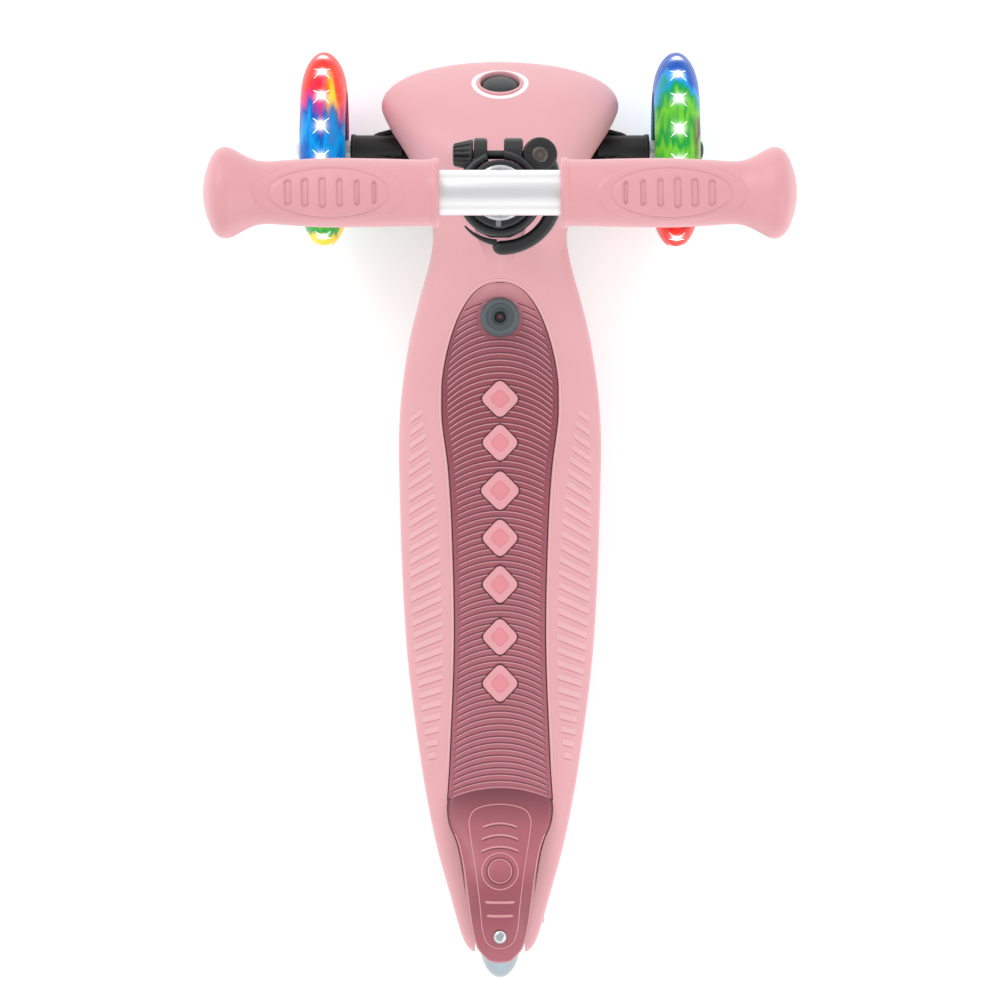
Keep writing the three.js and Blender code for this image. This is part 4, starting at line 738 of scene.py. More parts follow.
# ---------------------------------------------------------------- pieces
def make_deck():
    ys = [*np.linspace(TAIL, -258, 16), *np.linspace(-256.5, 150, 230), *np.linspace(151.5, 250, 70)]
    ys += [NOSE_START + (NOSE - NOSE_START) * math.sin(a) for a in np.linspace(0, math.pi / 2 - 0.03, 48)]
    shell = skin("deck_shell", [deck_ring(float(y), 120) for y in ys])
    tunnel = [(201.5, 0), (250.5, 0), (250.5, 73), (245.5, 79), (206.5, 79), (201.5, 74)]
    cutters = [cavity(), recess(0.75, 1.6), brake_shell("seat", 1.2, 40)]
    seat_floor = block("seat_floor", -90, 90, -300, -160, 0, 62.2)
    cutters[2] = carve(cutters[2], [seat_floor])
    for side in (-1, 1):
        cutters.append(prism("tunnel", fillet(tunnel, 5, 4), *span(side, 30, 95), "x", 0))
        cutters.append(rod("head_seat", 7.6, *span(side, 23.2, 60), "x", REAR_AXLE, 48, 0))
    cutters += [
        prism("pocket", [(21.9, 210), (21.9, 180), (14, 172), (6, 168.5), (-6, 168.5), (-14, 172),
                         (-21.9, 180), (-21.9, 210)], 84.5, 140, edge=0),
        block("latch_window", -21.9, 21.9, 205, 218, 84.5, 111.5),
        block("fork", -15.5, 15.5, -290, -200, 0, 140),
        block("brake_pocket", -17, 17, -202, -179, 51, 140),
        rod("axle_hole", 4.2, -60, 60, "x", REAR_AXLE, 32, 0),
        rod("pin_hole", 2.7, -26, 26, "x", BRAKE_PIN, 24, 0),
        rod("pin_window", 8, -27, 27, "x", PIVOT, 32, 0),
        rod("button_hole", 12.2, -12, 12, sides=64, edge=0, place=NOSE_PLACE),
        rod("bumper_seat", 12.5, 75.7, 120, centre=(0, BUMPER_Y, 0), sides=64, edge=0),
        rod("trough", 17.3, 132, 181, "y", (0, 0, PIVOT.z), 72, 0),
    ]
    dress(carve(shell, cutters), PINK, "deck", ["deck"], sharp=28)
    # the rim of the mat's recess, which ends ahead of the brake's swing
    lip = [p for p in mat_outline(1.7) if p[1] > -156]
    # the lip in the lighter pink, as painted highlight
    dress(beads("mat_lip", [lip], 1.7, 0.42, deck_top), PINK_LIT, "deck")
    dress(turned("button_rim",
                 fillet([(12.4, -2), (13.6, -2), (13.9, 0.5), (12.9, 0.9), (12.4, 0.2)], 0.3, 3),
                 place=NOSE_PLACE), PINK, "deck")


def make_nose_ring():
    """A plain white ring printed round the button."""
    verts, sides = [], 120
    normal = NOSE_PLACE.to_3x3() @ Vector((0, 0, 1))
    for i in range(sides):
        a = TURN * i / sides
        for r, lift in ((14.6, -0.4), (14.7, 0.12), (16.2, 0.16), (17.5, 0.12), (17.6, -0.4)):
            p = NOSE_PLACE @ Vector((r * math.cos(a), r * math.sin(a), 0))
            low, high = -9.0, 9.0
            for _ in range(26):
                middle = (low + high) / 2
                q = p + normal * middle
                low, high = (middle, high) if q.z < deck_top(q.x, min(q.y, NOSE - 0.05)) else (low, middle)
            verts.append(p + normal * (low + lift))
    ring = build("nose_ring", verts, quads(sides, 5, closed=False, flip=True))
    dress(ring, WHITE_RING, "deck")


def slanted_bars(name, bars, height):
    """Crisp raised bars. Each is (side, outer x, inner x, middle y, rise, width)."""
    verts, faces, steps = [], [], 10
    for side, a, b, y, rise, width in bars:
        first = len(verts)
        for i in range(steps + 1):
            t = i / steps
            x, middle = a + (b - a) * t, y + rise * (t - 0.5)
            ends = 0 if i in (0, steps) else 1
            for share, lift in ((-0.5, -0.4), (-0.44, height), (0, height), (0.44, height), (0.5, -0.4)):
                py = middle + share * width
                verts.append((side * x, py,
                              deck_top(x, py) + (lift if lift < 0 else lift * (0.3 + 0.7 * ends))))
        faces += quads(steps + 1, 5, False, False, first, flip=True)
        faces += [tuple(range(first, first + 5)), tuple(range(first + steps * 5, first + steps * 5 + 5))]
    return build(name, verts, faces)


def make_side_ribs():
    """Raised slanting bars along both edges of the foot board."""
    inner = smooth([(-152, 39.5), (-120, 36), (-71, 35.2), (-15, 37.8), (30, 43), (66, 49)])
    outer = smooth([(-152, 43.5), (-120, 48.3), (-71, 53.6), (-15, 55.8), (30, 56.2), (66, 54.8)])
    slant = smooth([(-152, 0.2), (-110, 0.3), (-71, 0.42), (0, 0.6), (66, 0.72)])
    bars, lines = [], []
    for side in (-1, 1):
        for k in range(28):
            y = 61 - k * 7.75
            a, b = outer(y), inner(y)
            rise = slant(y) * (a - b)
            bars.append((side, a, b, y, rise, 4.3))
            low = y - 2.35
            lines.append([(side * (a + (b - a) * t), low + rise * (t - 0.5))
                          for t in (0, 0.25, 0.5, 0.75, 1)])
    # the bars in the lighter pink are painted highlight
    dress(slanted_bars("side_ribs", bars, 0.42), PINK_LIT, "deck", sharp=25)
    # thin dark lines along the rear edge of each bar: painted shadow
    dress(beads("side_rib_painted_shadows", lines, 0.8, 0.1, deck_top, sink=0.2), PINK_SHADOW_PAINT, "deck")


MAT_PROUD, PITCH = 0.8, 3.86
RIDGES_REAR, RIDGES_FRONT = -167.4, 132
mat_bow = smooth([(-168, 72), (-155, 58), (-130, 50), (-60, 50), (0, 55), (60, 50), (110, 43), (141, 42)])


def mat_point(s, x):
    radius = mat_bow(s)
    return s - (radius - math.sqrt(radius**2 - x * x))


def mat_edge(s):
    """Half the length of the ridge at s, where its bow meets the mat's side."""
    x = mat_half(min(s, 140.9))
    for _ in range(30):
        x = 0.5 * x + 0.5 * mat_half(min(mat_point(s, min(x, 36)), 140.95))
    return x


def wave(s):
    """The mat's cross-section along its length: sharp ridges that slope away to the rear."""
    if s > 133:
        return 0.35
    share = ((s - RIDGES_REAR) / PITCH) % 1
    return 0.5 * (share / 0.8) ** 1.4 if share < 0.8 else 0.5 * (1 - (share - 0.8) / 0.2)


def mat_top(x, y):
    return deck_top(x, y) + MAT_PROUD


def ridge_lines():
    """The crest and the valley of each ridge, broken where the bumper stands; crests carry painted
    highlight, valleys painted shade.
    """
    crests, valleys = [], []
    for k in range(int((RIDGES_FRONT - RIDGES_REAR) / PITCH)):
        s = RIDGES_REAR + PITCH * (k + 0.8)
        edge = mat_edge(s) - 2.2
        for lines, place in ((crests, s), (valleys, s + 0.85)):
            whole = [(edge * t, mat_point(place, edge * t)) for t in np.linspace(-1, 1, 61)]
            clear = [p for p in whole if math.hypot(p[0], p[1] - BUMPER_Y) > 13.2]
            halves = [[p for p in clear if p[0] < 0], [p for p in clear if p[0] > 0]]
            lines += [whole] if len(clear) == len(whole) else [part for part in halves if len(part) > 3]
    return crests, valleys


def make_mat():
    rows = [*np.arange(RIDGES_REAR, 136, PITCH / 8), *np.linspace(136.2, 140.7, 12)]
    across, rings = 44, []
    for s in rows:
        s = float(s)
        edge = mat_edge(s)
        ring = []
        for k in range(across + 1):
            x = edge * math.sin((k / across - 0.5) * math.pi)
            y = mat_point(s, x)
            fade = min((edge - abs(x)) / 1.4, 1)
            ring.append((x, y, mat_top(x, y) + wave(s) * fade))
        first, last = ring[0], ring[-1]
        ring = [(first[0], first[1], first[2] - 2), *ring, (last[0], last[1], last[2] - 2)]
        rings.append(ring)
    rings.insert(0, [(x, y - 0.05, z - 2) for x, y, z in rings[0]])
    rings.append([(x, y + 0.05, z - 2) for x, y, z in rings[-1]])
    mat = skin("mat_pad", rings, close=False, ends=False)
    dress(mat, MAT, "deck", ["deck_mat"], sharp=50)
    crests, valleys = ridge_lines()
    under_mat = lambda x, y: deck_top(x, y) - 0.1
    end_of_mat = lambda x, y: mat_top(x, max(y, -166))
    dress_all([
        # crests in a light colour as painted highlight, valleys in a dark one as painted shade, the rear lip
        # as painted highlight
        (beads("mat_crests", crests, 0.8, 0.66, mat_top, sink=0.1, step=1.4), MAT_HIGHLIGHT_PAINT),
        (beads("mat_valley_shadows", valleys, 0.9, 0.34, mat_top, sink=0.1, step=1.4), MAT_SHADE_PAINT),
        # the dark ring round the mat is painted shadow in the gap
        (beads("mat_gap_line", [mat_outline(0.3, 120)], 0.75, 0.1, under_mat, closed=True), GAP_SHADOW_PAINT),
        (beads("mat_rear_lip", [rear_edge(24)], 1.5, 0.85, end_of_mat), MAT_HIGHLIGHT_PAINT),
        (beads("mat_border", [mat_outline(-1.2, 120)], 1.1, 0.62, mat_top, closed=True), MAT),
    ], "deck")


def lozenge(y, half_wide, half_tall, corner=4.5):
    points = [(half_wide, y), (0, y + half_tall), (-half_wide, y), (0, y - half_tall)]
    return [tuple(p) for p in resampled(fillet(points, corner, 6), 1.2, closed=True)]


def make_motif():
    """A plain row of lozenges down the mat, with a smaller one let into each."""
    places = [(70.8, 12.6, 12.6), (44, 12.2, 12.6), (14.5, 13.2, 13.4), (-14.6, 12.2, 12.9),
              (-43.2, 12.2, 13), (-75.5, 12.0, 12.6), (-104, 12.2, 12.9)]
    dark = [lozenge(y, w + 0.9, h + 1.0) for y, w, h in places]
    pink = [lozenge(y, w, h) for y, w, h in places]
    deep = [lozenge(y, w * 0.5, h * 0.5, 2.0) for y, w, h in places]
    dress_all([
        # the dark rim round each lozenge is painted shadow at its edge
        (patch("motif_outline", dark, 0.85, mat_top), GAP_SHADOW_PAINT),
        (patch("motif_lozenges", pink, 1.15, mat_top), MOTIF),
        (patch("motif_middles", deep, 1.3, mat_top), MOTIF_DEEP),
        (beads("motif_rims", deep, 0.8, 1.55, mat_top, closed=True, sink=-1.0), MOTIF),
    ], "deck")


def make_bumper():
    outline = fillet([
        (3.3, 76), (12, 76), (12, 87.4), (11.3, 88.2), (11.3, 89.3), (10.2, 90.9), (8.6, 90.9), (8.1, 89.6),
        (6.7, 89.6), (6.3, 90.2), (5.7, 90.2), (5.1, 87.8), (4.2, 87.2), (3.3, 85.6)], 0.3, 3)
    dress(turned("bumper_pad", outline, centre=(0, BUMPER_Y, 0)), GREY_RUBBER, "deck",
          ["bumper"])
    head = rod("bumper_bolt", 3.2, 80, 84.6, centre=(0, BUMPER_Y, 0), edge=0.4)
    socket = prism("hex", arc(0, BUMPER_Y, 1.9, 0, 300, 5), 82.6, 95, edge=0)
    dress(carve(head, [socket]), BLACK, "deck", ["bumper_screw"])


def make_button():
    dome = [(0, 0.9), (4, 0.75), (8, 0.1), (10.6, -0.9), (11.6, -2.0), (11.8, -3.4), (11.8, -9), (0, -9)]
    cap = turned("button_cap", fillet(dome, 0.8, 3, False), place=NOSE_PLACE, closed=False)
    dress(cap, BLACK_GLOSS, "fold_button", ["fold_button"])


# ---------------------------------------------------------------- brake
def make_brake():
    shell = brake_shell("brake_cover", 0, 4)
    cuts = [
        rod("screw_seat", 4.7, 88.4, 120, centre=(0, BRAKE_SCREW_Y, 0), edge=0),
        rod("screw_hole", 2.4, 60, 120, centre=(0, BRAKE_SCREW_Y, 0), sides=32, edge=0),
    ]
    dress(carve(shell, cuts), BRAKE, "brake", ["brake"], sharp=30)
    for side, name in ((-1, "left"), (1, "right")):
        pin_y, pin_z = BRAKE_PIN[1:]
        ear = arc(pin_y, pin_z, 6, 180, 360, 16)
        ear += [(pin_y + 6, brake_spine(pin_y) - 6), (pin_y - 6, brake_spine(pin_y) - 2)]
        lug = carve(prism(f"brake_lug_{name}", ear, *span(side, 9, 14.6), "x", 0.6), [
            rod("hole", 2.7, -40, 40, "x", BRAKE_PIN, 32, 0)])
        dress(lug, BRAKE, "brake")
    brake_lines()
    dome = [(0, 89.9), (2.2, 89.8), (3.6, 89.2), (4.2, 88.2), (4.2, 87.6), (2, 87.5), (2, 83.2), (0, 83.2)]
    head = turned("brake_bolt", dome, centre=(0, BRAKE_SCREW_Y, 0), closed=False)
    socket = prism("hex", arc(0, BRAKE_SCREW_Y, 2.1, 0, 300, 5), 88.4, 95, edge=0)
    dress(carve(head, [socket]), CHROME, "brake", ["brake_screw"])


def brake_lines():
    """The raised lines, rings and bars on the brake's tread, lighter as painted highlight, with painted
    shadow lines beside them.
    """
    half = [(9, -178.8), (16.5, -181.5), (19.3, -188), (17.2, -203), (14.4, -220), (12.2, -238),
            (10.8, -254), (8.4, -261.5), (4.4, -264.6)]
    tread = [(0, -177.8), *half, (0, -265.5), *[(-x, y) for x, y in reversed(half)]]
    tread = tread[-2:] + tread[:-2]
    arcs = [[(x, y - 0.021 * x * x) for x in np.linspace(-w, w, 17)]
            for y, w in ((-189.6, 10.4), (-196.6, 11.2), (-203.6, 11.4))]
    # painted shadow lines just behind the arcs
    shadows = [[(x, y - 1) for x, y in path] for path in arcs]
    bars = [[(x, y + 0.004 * x * x) for x in np.linspace(-w, w, 9)] for y, w in ((-237.2, 9), (-245.4, 8))]
    outer, inner, painted_shade = (arc(0, BRAKE_RING_Y, r, 0, 354, 59) for r in (11, 7, 8))
    ys = [float(y) for y in np.linspace(-196, -268, 40)] + [-270.5, -272.2, -273.2]
    side = [(brake_plan(y) - 0.7, y) for y in ys]
    rim_line = side + [(0, -273.9)] + [(-x, y) for x, y in reversed(side)]
    disc = arc(0, BRAKE_RING_Y, 6.2, 0, 352.5, 47)
    dress_all([
        (beads("brake_outline", [fillet(tread, 4, 4)], 0.8, 0.34, brake_top, closed=True), BRAKE_HIGHLIGHT_PAINT),
        (beads("brake_arcs", arcs, 1.4, 0.42, brake_top), BRAKE_HIGHLIGHT_PAINT),
        (beads("brake_bars", bars, 2, 0.5, brake_top), BRAKE_HIGHLIGHT_PAINT),
        (beads("brake_rings", [outer, inner], 0.9, 0.4, brake_top, closed=True), BRAKE_HIGHLIGHT_PAINT),
        # dark lines beside the arcs and the inner ring: painted shadow
        (beads("brake_arc_shadows", shadows, 0.9, 0.16, brake_top), BRAKE_SHADOW_PAINT),
        (beads("brake_ring_shadow", [painted_shade], 0.9, 0.16, brake_top, closed=True), BRAKE_SHADOW_PAINT),
        (patch("brake_disc", [disc], 0.7, brake_top, edge=0.5), BRAKE),
        # a thin light line inside the rim: painted highlight
        (beads("brake_rim_highlight", [rim_line], 0.9, 0.14, brake_top, sink=0.6), BRAKE_HIGHLIGHT_PAINT),
    ], "brake")


# ---------------------------------------------------------------- wheels
TREAD_RADIUS, TREAD_HALF, RIM_RADIUS = 60.4, 14, 36


def tyre_outline(radius, width, inner):
    """Half an ellipse, widest where it meets the rim."""
    half = width / 2
    outer = []
    for a in np.linspace(0.03, math.pi - 0.03, 57):
        t = math.sin(a) ** 0.9
        outer.append((inner + (radius - inner) * t,
                      math.copysign(half * (1 - t**1.9) ** 0.52, math.cos(a))))
    return [(inner + 0.3, half - 0.8), *outer, (inner + 0.3, -half + 0.8)]


def core_outline(rim_radius, rim_half, hub_half):
    half = [(rim_radius, rim_half), (rim_radius - 3.6, rim_half), (rim_radius - 5, 2.6), (15.2, 3.2),
            (15.2, hub_half - 2), (13.8, hub_half), (11.1, hub_half)]
    return fillet([(r, -x) for r, x in reversed(half)] + half, 0.9, 3)


def make_lights(name, body, centre, first):
    """Round glowing cores for the lights, each with four rays of painted glint, just proud of the tread. The
    strip's ends leave one gap.
    """
    verts, faces = [], []

    def add(points, middle, lift):
        start = len(verts)
        for a, b in points:
            share = max(1 - (abs(a) / TREAD_HALF) ** 1.923, 0) ** 0.526
            out = RIM_RADIUS + (TREAD_RADIUS - RIM_RADIUS) * share + lift
            angle = middle + b / 60.5
            verts.append(centre + Vector((a, out * math.sin(angle), out * math.cos(angle))))
        n = len(points) - 1
        faces.extend((start, start + 1 + k, start + 1 + (k + 1) % n) for k in range(n))

    for i in range(LIGHT_COUNT - 2):
        middle = math.radians(first - 360 * i / LIGHT_COUNT)
        core = [(2.3 * math.sin(a), 2.3 * math.cos(a)) for a in np.linspace(0, TURN, 18, endpoint=False)]
        add([(0, 0), *core], middle, 0.24)
        # the four rays are painted glints round each light
        for k in range(4):
            c, s = math.cos(math.pi / 4 + k * math.pi / 2), math.sin(math.pi / 4 + k * math.pi / 2)
            ray = [(2, 0), (1, 0.4), (3, 0.22), (7, 0.05), (7, -0.05), (3, -0.22), (1, -0.4)]
            add([(u * c - v * s, u * s + v * c) for u, v in ray], middle, 0.22)
    dress(build(name, verts, faces, mend=False), STAR, body)


def make_front_wheels():
    for side, name, tread in ((-1, "left", TYRE_LEFT), (1, "right", TYRE_RIGHT)):
        centre = Vector((side * TRACK / 2, FRONT_AXLE.y, FRONT_AXLE.z))
        body = f"wheel_{name}"
        tyre = turned(f"front_tread_{name}", tyre_outline(TREAD_RADIUS, 2 * TREAD_HALF, RIM_RADIUS), "x",
                      centre, 160)
        dress(tyre, tread, body, [f"front_tyre_{name}"])
        core = turned(f"front_hub_{name}", core_outline(RIM_RADIUS, 13.1, 12), "x", centre, 144)
        places = [centre + Vector((0, 23.2 * math.cos(TURN * i / 6), 23.2 * math.sin(TURN * i / 6)))
                  for i in range(6)]
        holes = [rod("window", 5.4, -9, 9, "x", place, 40, 0) for place in places]
        dress(carve(core, holes), BLACK, body, [f"front_wheel_core_{name}"], sharp=32)
        for face, mark in ((-1, "a"), (1, "b")):
            ridge = [(30.2, face * 3), (30.9, face * 3.5), (31.6, face * 3)]
            dress(turned(f"hub_bead_{name}_{mark}", ridge, "x", centre, 96), BLACK, body)
            low, high = span(face, 11.4, 11.9)
            washer = fillet([(4.3, low), (9.4, low), (9.4, high), (4.3, high)], 0.15, 2)
            dress(turned(f"bearing_shield_{name}_{mark}", washer, "x", centre, 64), DARK_STEEL, body)
        make_lights(f"light_stars_{name}", body, centre, LIGHTS_LEFT if side < 0 else LIGHTS_RIGHT)
        out = 12.3
        dome = [(0, out + 5.1), (3, out + 5), (5.2, out + 4), (6.5, out + 2), (6.5, out), (3.9, out),
                (3.9, out - 52), (0, out - 52)]
        dome = [(r, side * a) for r, a in fillet(dome, 0.6, 3, False)]
        bolt = turned(f"axle_bolt_{name}", dome, "x", centre, 64, closed=False)
        low, high = span(side, out + 2.4, out + 8)
        hexagon = prism("hex", arc(centre.y, centre.z, 2.9, 0, 300, 5), centre.x + low, centre.x + high,
                        "x", 0)
        # the right bolt, the same chromed part as the left, is given dark steel as a painted dark reflection
        dress(carve(bolt, [hexagon]), CHROME if side < 0 else DARK_STEEL, f"knuckle_{name}",
              [f"front_axle_bolt_{name}"])


def make_rear_wheel():
    dress(turned("rear_tread", tyre_outline(39.9, 24, 22), "x", REAR_AXLE, 144), REAR_TYRE, "wheel_rear",
          ["rear_tyre"])
    dress(turned("rear_hub", core_outline(22, 11.1, 10), "x", REAR_AXLE, 120), BLACK, "wheel_rear",
          ["rear_wheel_core"])
    head = [(0, -27), (4, -26.9), (6, -25.8), (6.5, -24.2), (6.5, -23.5), (3.9, -23.5), (3.9, 27), (0, 27)]
    bolt = turned("rear_axle", fillet(head, 0.5, 3, False), "x", REAR_AXLE, 64, closed=False)
    hexagon = prism("hex", arc(REAR_AXLE.y, REAR_AXLE.z, 2.9, 0, 300, 5), -30, -25, "x", 0)
    dress(carve(bolt, [hexagon]), CHROME, "deck", ["rear_axle_bolt"])


# ---------------------------------------------------------------- steering arms
def make_arms():
    for side, name in ((-1, "left"), (1, "right")):
        place = LEAN @ Matrix.Translation((side * KINGPIN_X, 0, 0))
        end = TRACK / 2 - 12 - 0.3 - 4 - KINGPIN_X

        def plate(part, outline, corner, half, edge):
            flipped = fillet([(side * a, b) for a, b in outline], corner, 3 if corner > 1 else 2)
            return prism(part, flipped, -half, half, edge=edge, place=place)

        front = [(8, 9), (25, 10), (end - 16, 6.4), (end - 16, 9.2), (25, 12.6), (8, 12.8)]
        web = [(0, -12.8), (25, -12.6), (end - 14, -9.2), (end - 14, 9.2), (25, 12.6), (0, 12.8)]
        web = plate("arm", web, 1.5, 4.6, 0.9)
        parts = [
            rod("boss", 12.8, -9, 9, edge=1, place=place),
            rod("housing", 9.3, *span(side, 20, end), "x", edge=0.9, place=place),
            plate("front_rib", front, 0.6, 6, 0.7),
            plate("rear_rib", [(a, -b) for a, b in front], 0.6, 6, 0.7),
            plate("cross_rib", [(24.5, -12), (27, -12), (27, 12), (24.5, 12)], 0.4, 6, 0.5),
            block("lever", -5.5, 5.5, 0, 22, -4, 4, edge=0.8, place=place),
            rod("lever_end", 5, -4, 4, centre=(0, 22, 0), edge=0.6, place=place),
            rod("peg", 2.7, 0, 8, centre=(0, 22, 0), sides=40, place=place),
            rod("peg_head", 4, 7.3, 8.5, centre=(0, 22, 0), sides=48, edge=0.4, place=place),
            rod("collar", 9.9, *span(side, end - 3.2, end - 0.2), "x", edge=0.6, place=place),
        ]
        arm = carve(web, parts, "UNION")
        arm = carve(arm, [
            rod("kingpin_bore", 4.3, -20, 20, sides=48, edge=0, place=place),
            rod("axle_bore", 4.2, *span(side, 27, end + 1), "x", sides=48, edge=0, place=place),
        ])
        arm.name = f"arm_{name}"
        dress(arm, BLACK_ARM, f"knuckle_{name}", [f"steering_arm_{name}"], sharp=32)


# ---------------------------------------------------------------- column and clamp
def make_column():
    hub = rod("base", 15, -17.3, 17.3, "x", edge=1.2, place=COLUMN, sides=96)
    neck = turned("neck", [(0, 0), (14.6, 0), (15.4, 10), (16, 21.4), (15.4, 22), (0, 22)], place=COLUMN,
                  closed=False)
    hub = carve(hub, [neck, rod("spigot", 13.9, 10, 60, place=COLUMN)], "UNION")
    notch = prism("notch", [(11.6, -4), (19, -4), (19, 3), (11.6, 3)], -5.6, 5.6, "x", 0,
                  place=COLUMN @ Matrix.Rotation(-RAKE, 4, "X"))
    hub = carve(hub, [rod("pin_bore", 4.3, -30, 30, "x", edge=0, place=COLUMN), notch])
    hub.name = "column_hub"
    dress(hub, BLACK, "column", ["column_base"], sharp=32)
    tube = rod("main_tube", TUBE_RADIUS, 22.3, 318, bore=14.2, edge=0.3, place=COLUMN, sides=128)
    holes = [rod("hole", 4.3, 0, 30, "y", (0, 0, 192 + 50 * i), 48, 0, COLUMN) for i in range(3)]
    screw_hole = rod("screw_hole", 2.5, -30, 30, "y", (0, 0, 42.3), 32, 0, COLUMN)
    dress(carve(tube, [*holes, screw_hole]), ALUMINIUM_Z, "column", ["lower_tube"])
    bush = fillet([
        (12.8, 318.3), (16.3, 318.3), (16.3, 296), (18.2, 296), (18.2, 326.6), (17.2, 327.8), (12.8, 327.8)],
        0.35, 3)
    dress(turned("tube_collar", bush, place=COLUMN, sides=128), BLACK, "column",
          ["tube_bush"])
    mark = block("lock_mark", -2.2, 0.6, -17.6, -12.9, 327.2, 328.3, 0.3, COLUMN)
    dress(mark, GREY_MARK, "column")


def make_clamp():
    ring = [(18.55, CLAMP_LOW), (21.6, CLAMP_LOW), (23, CLAMP_LOW + 1.8), (23, CLAMP_HIGH - 2.2),
            (22.3, CLAMP_HIGH - 0.7), (21, CLAMP_HIGH), (19.6, CLAMP_HIGH - 0.5), (18.55, CLAMP_HIGH - 1.4)]
    band = turned("clamp_band", fillet(ring, 0.5, 3), start=84, end=-251, place=COLUMN, sides=120)
    parts = []
    for low, high in ((-14.1, -6.8), (2.1, 12.4)):
        ear = arc(21, CLAMP_MID, 9, -90, 90, 24) + [(15.5, CLAMP_MID + 9), (15.5, CLAMP_MID - 9)]
        parts.append(prism("ear", ear, low, high, "x", 0.7, place=COLUMN))
    band = carve(band, parts, "UNION")
    band = carve(band, [
        rod("knob_seat", 9, -40, -14.1, "x", CLAMP_BOLT, 64, 0, COLUMN),
        rod("lever_seat", 9.7, CLAMP_MID - 8.9, CLAMP_MID + 8.9, centre=(*LEVER_PIN, 0), sides=96, edge=0,
            place=COLUMN),
        rod("bolt_hole", 2.8, -40, 40, "x", CLAMP_BOLT, 40, 0, COLUMN),
        rod("bore", 18.5, CLAMP_LOW - 1, CLAMP_HIGH + 1, sides=120, edge=0, place=COLUMN),
    ])
    dress(band, BLACK, "column", ["clamp_collar"], sharp=32)
    dress(rod("clamp_rod", 2.4, -23.5, 16.6, "x", CLAMP_BOLT, 48, 0.4, COLUMN),
          DARK_STEEL, "column", ["clamp_bolt"])
    # knob with flutes
    verts, sides = [], 112
    profile = [(0, -25.5), (4.6, -25.5), (5.8, -25.0), (6.3, -24.2), (7.1, -20.5), (7.9, -16.9),
               (8.4, -15.6), (8.2, -14.5), (0, -14.4)]
    profile = fillet(profile, 0.5, 3, False)
    for i in range(sides):
        a = TURN * i / sides
        for r, x in profile:
            groove = 0.95 * max(0, math.cos(15 * a)) ** 0.8 if -24.6 < x < -16.4 and r > 5.9 else 0
            verts.append((x, CLAMP_BOLT_Y + (r - groove) * math.cos(a),
                          CLAMP_MID + (r - groove) * math.sin(a)))
    knob = build("knob", verts, quads(sides, len(profile), closed=False), COLUMN)
    dress(knob, BLACK, "column", ["clamp_knob"], sharp=45)
    make_lever()
    pin = turned("lever_pivot", [(0, 321.2), (3.6, 321.2), (4.2, 320.8), (4.2, 304), (0, 304)],
                 centre=(*LEVER_PIN, 0), place=COLUMN, closed=False)
    groove = turned("groove", [(1.8, 320.7), (2.5, 320.7), (2.5, 322), (1.8, 322)], centre=(*LEVER_PIN, 0),
                    place=COLUMN, sides=64)
    dress(carve(pin, [groove]), PIN_STEEL, "column", ["lever_pin"])


def make_lever():
    """A cam lever swept round the back of the clamp, thick at its hub and thin at its tip."""
    low, high = CLAMP_MID - 8, CLAMP_MID + 8
    hub = rod("hub", 9.4, low, high, centre=(*LEVER_PIN, 0), edge=1.4, place=COLUMN, sides=96)
    path = [Vector(p) for p in [(25.2, 20), (27.4, 14), *arc(1, 0, 29, 18, -100, 40)]]
    path = [Vector(p) for p in resampled(path, 1.2)]
    rings, count = [], len(path)
    for i, p in enumerate(path):
        t = i / (count - 1)
        along = (path[min(i + 1, count - 1)] - path[max(i - 1, 0)]).normalized()
        across = Vector((along.y, -along.x))
        thick = 8.4 - 0.7 * t
        tall = 15.6 - 3.2 * t
        if t > 0.93:
            squeeze = math.sqrt(max(1 - ((t - 0.93) / 0.07) ** 2, 0.02))
            thick, tall = thick * squeeze, tall * (0.6 + 0.4 * squeeze)
        ring = []
        for k in range(32):
            a = TURN * k / 32
            u = math.copysign(abs(math.cos(a)) ** 0.55, math.cos(a)) * thick / 2
            w = math.copysign(abs(math.sin(a)) ** 0.5, math.sin(a)) * tall / 2
            q = p + across * u
            ring.append(COLUMN @ Vector((q.x, q.y, CLAMP_MID + w)))
        rings.append(ring)
    handle = skin("handle", rings)
    lever = carve(hub, [handle], "UNION")
    lever = carve(lever, [
        block("way", 0, 21.4, 16.7, 40, CLAMP_MID - 3.2, CLAMP_MID + 3.2, place=COLUMN),
        block("way", 19.4, 28.4, 22.9, 40, CLAMP_MID - 3.2, CLAMP_MID + 3.2, place=COLUMN),
        rod("pin_bore", 4.24, 290, 340, centre=(*LEVER_PIN, 0), sides=64, edge=0, place=COLUMN),
    ])
    lever.name = "cam_lever"
    dress(lever, BLACK, "clamp_lever", ["clamp_lever"], sharp=40)
    # thumb tab on the inside of the tip
    tab = [Vector(p) for p in resampled(arc(1, 0, 26.4, -96, -139, 24), 1)]
    section = [(1, 0.8), (0.6, 1), (-0.6, 1), (-1, 0.8), (-1, -0.8), (-0.6, -1), (0.6, -1), (1, -0.8)]
    rings = []
    for i, p in enumerate(tab):
        t = i / (len(tab) - 1)
        out = (p - Vector((1, 0))).normalized()
        thick, tall = 3.6 - 2.6 * t, 11 - 5 * t
        rings.append([COLUMN @ Vector((*(p + out * a * thick / 2), CLAMP_MID + b * tall / 2))
                      for a, b in section])
    dress(skin("lever_tab", rings), BLACK, "clamp_lever")


# ---------------------------------------------------------------- handlebar
grip_radius = smooth([
    (29.4, 16.3), (30.2, 16.9), (31.8, 16.9), (33.4, 16.2), (38, 16), (60, 16.5), (84, 16.7), (104, 15.7),
    (111, 15.2), (117, 15.6), (122, 17.4), (127, 20.1), (130.5, 21.8), (133.5, 22.1), (136.2, 21.1),
    (138.2, 19.1), (139.8, 16.4), (141.5, 12), (142.7, 7.6), (143.3, 3.6), (143.5, 0)])


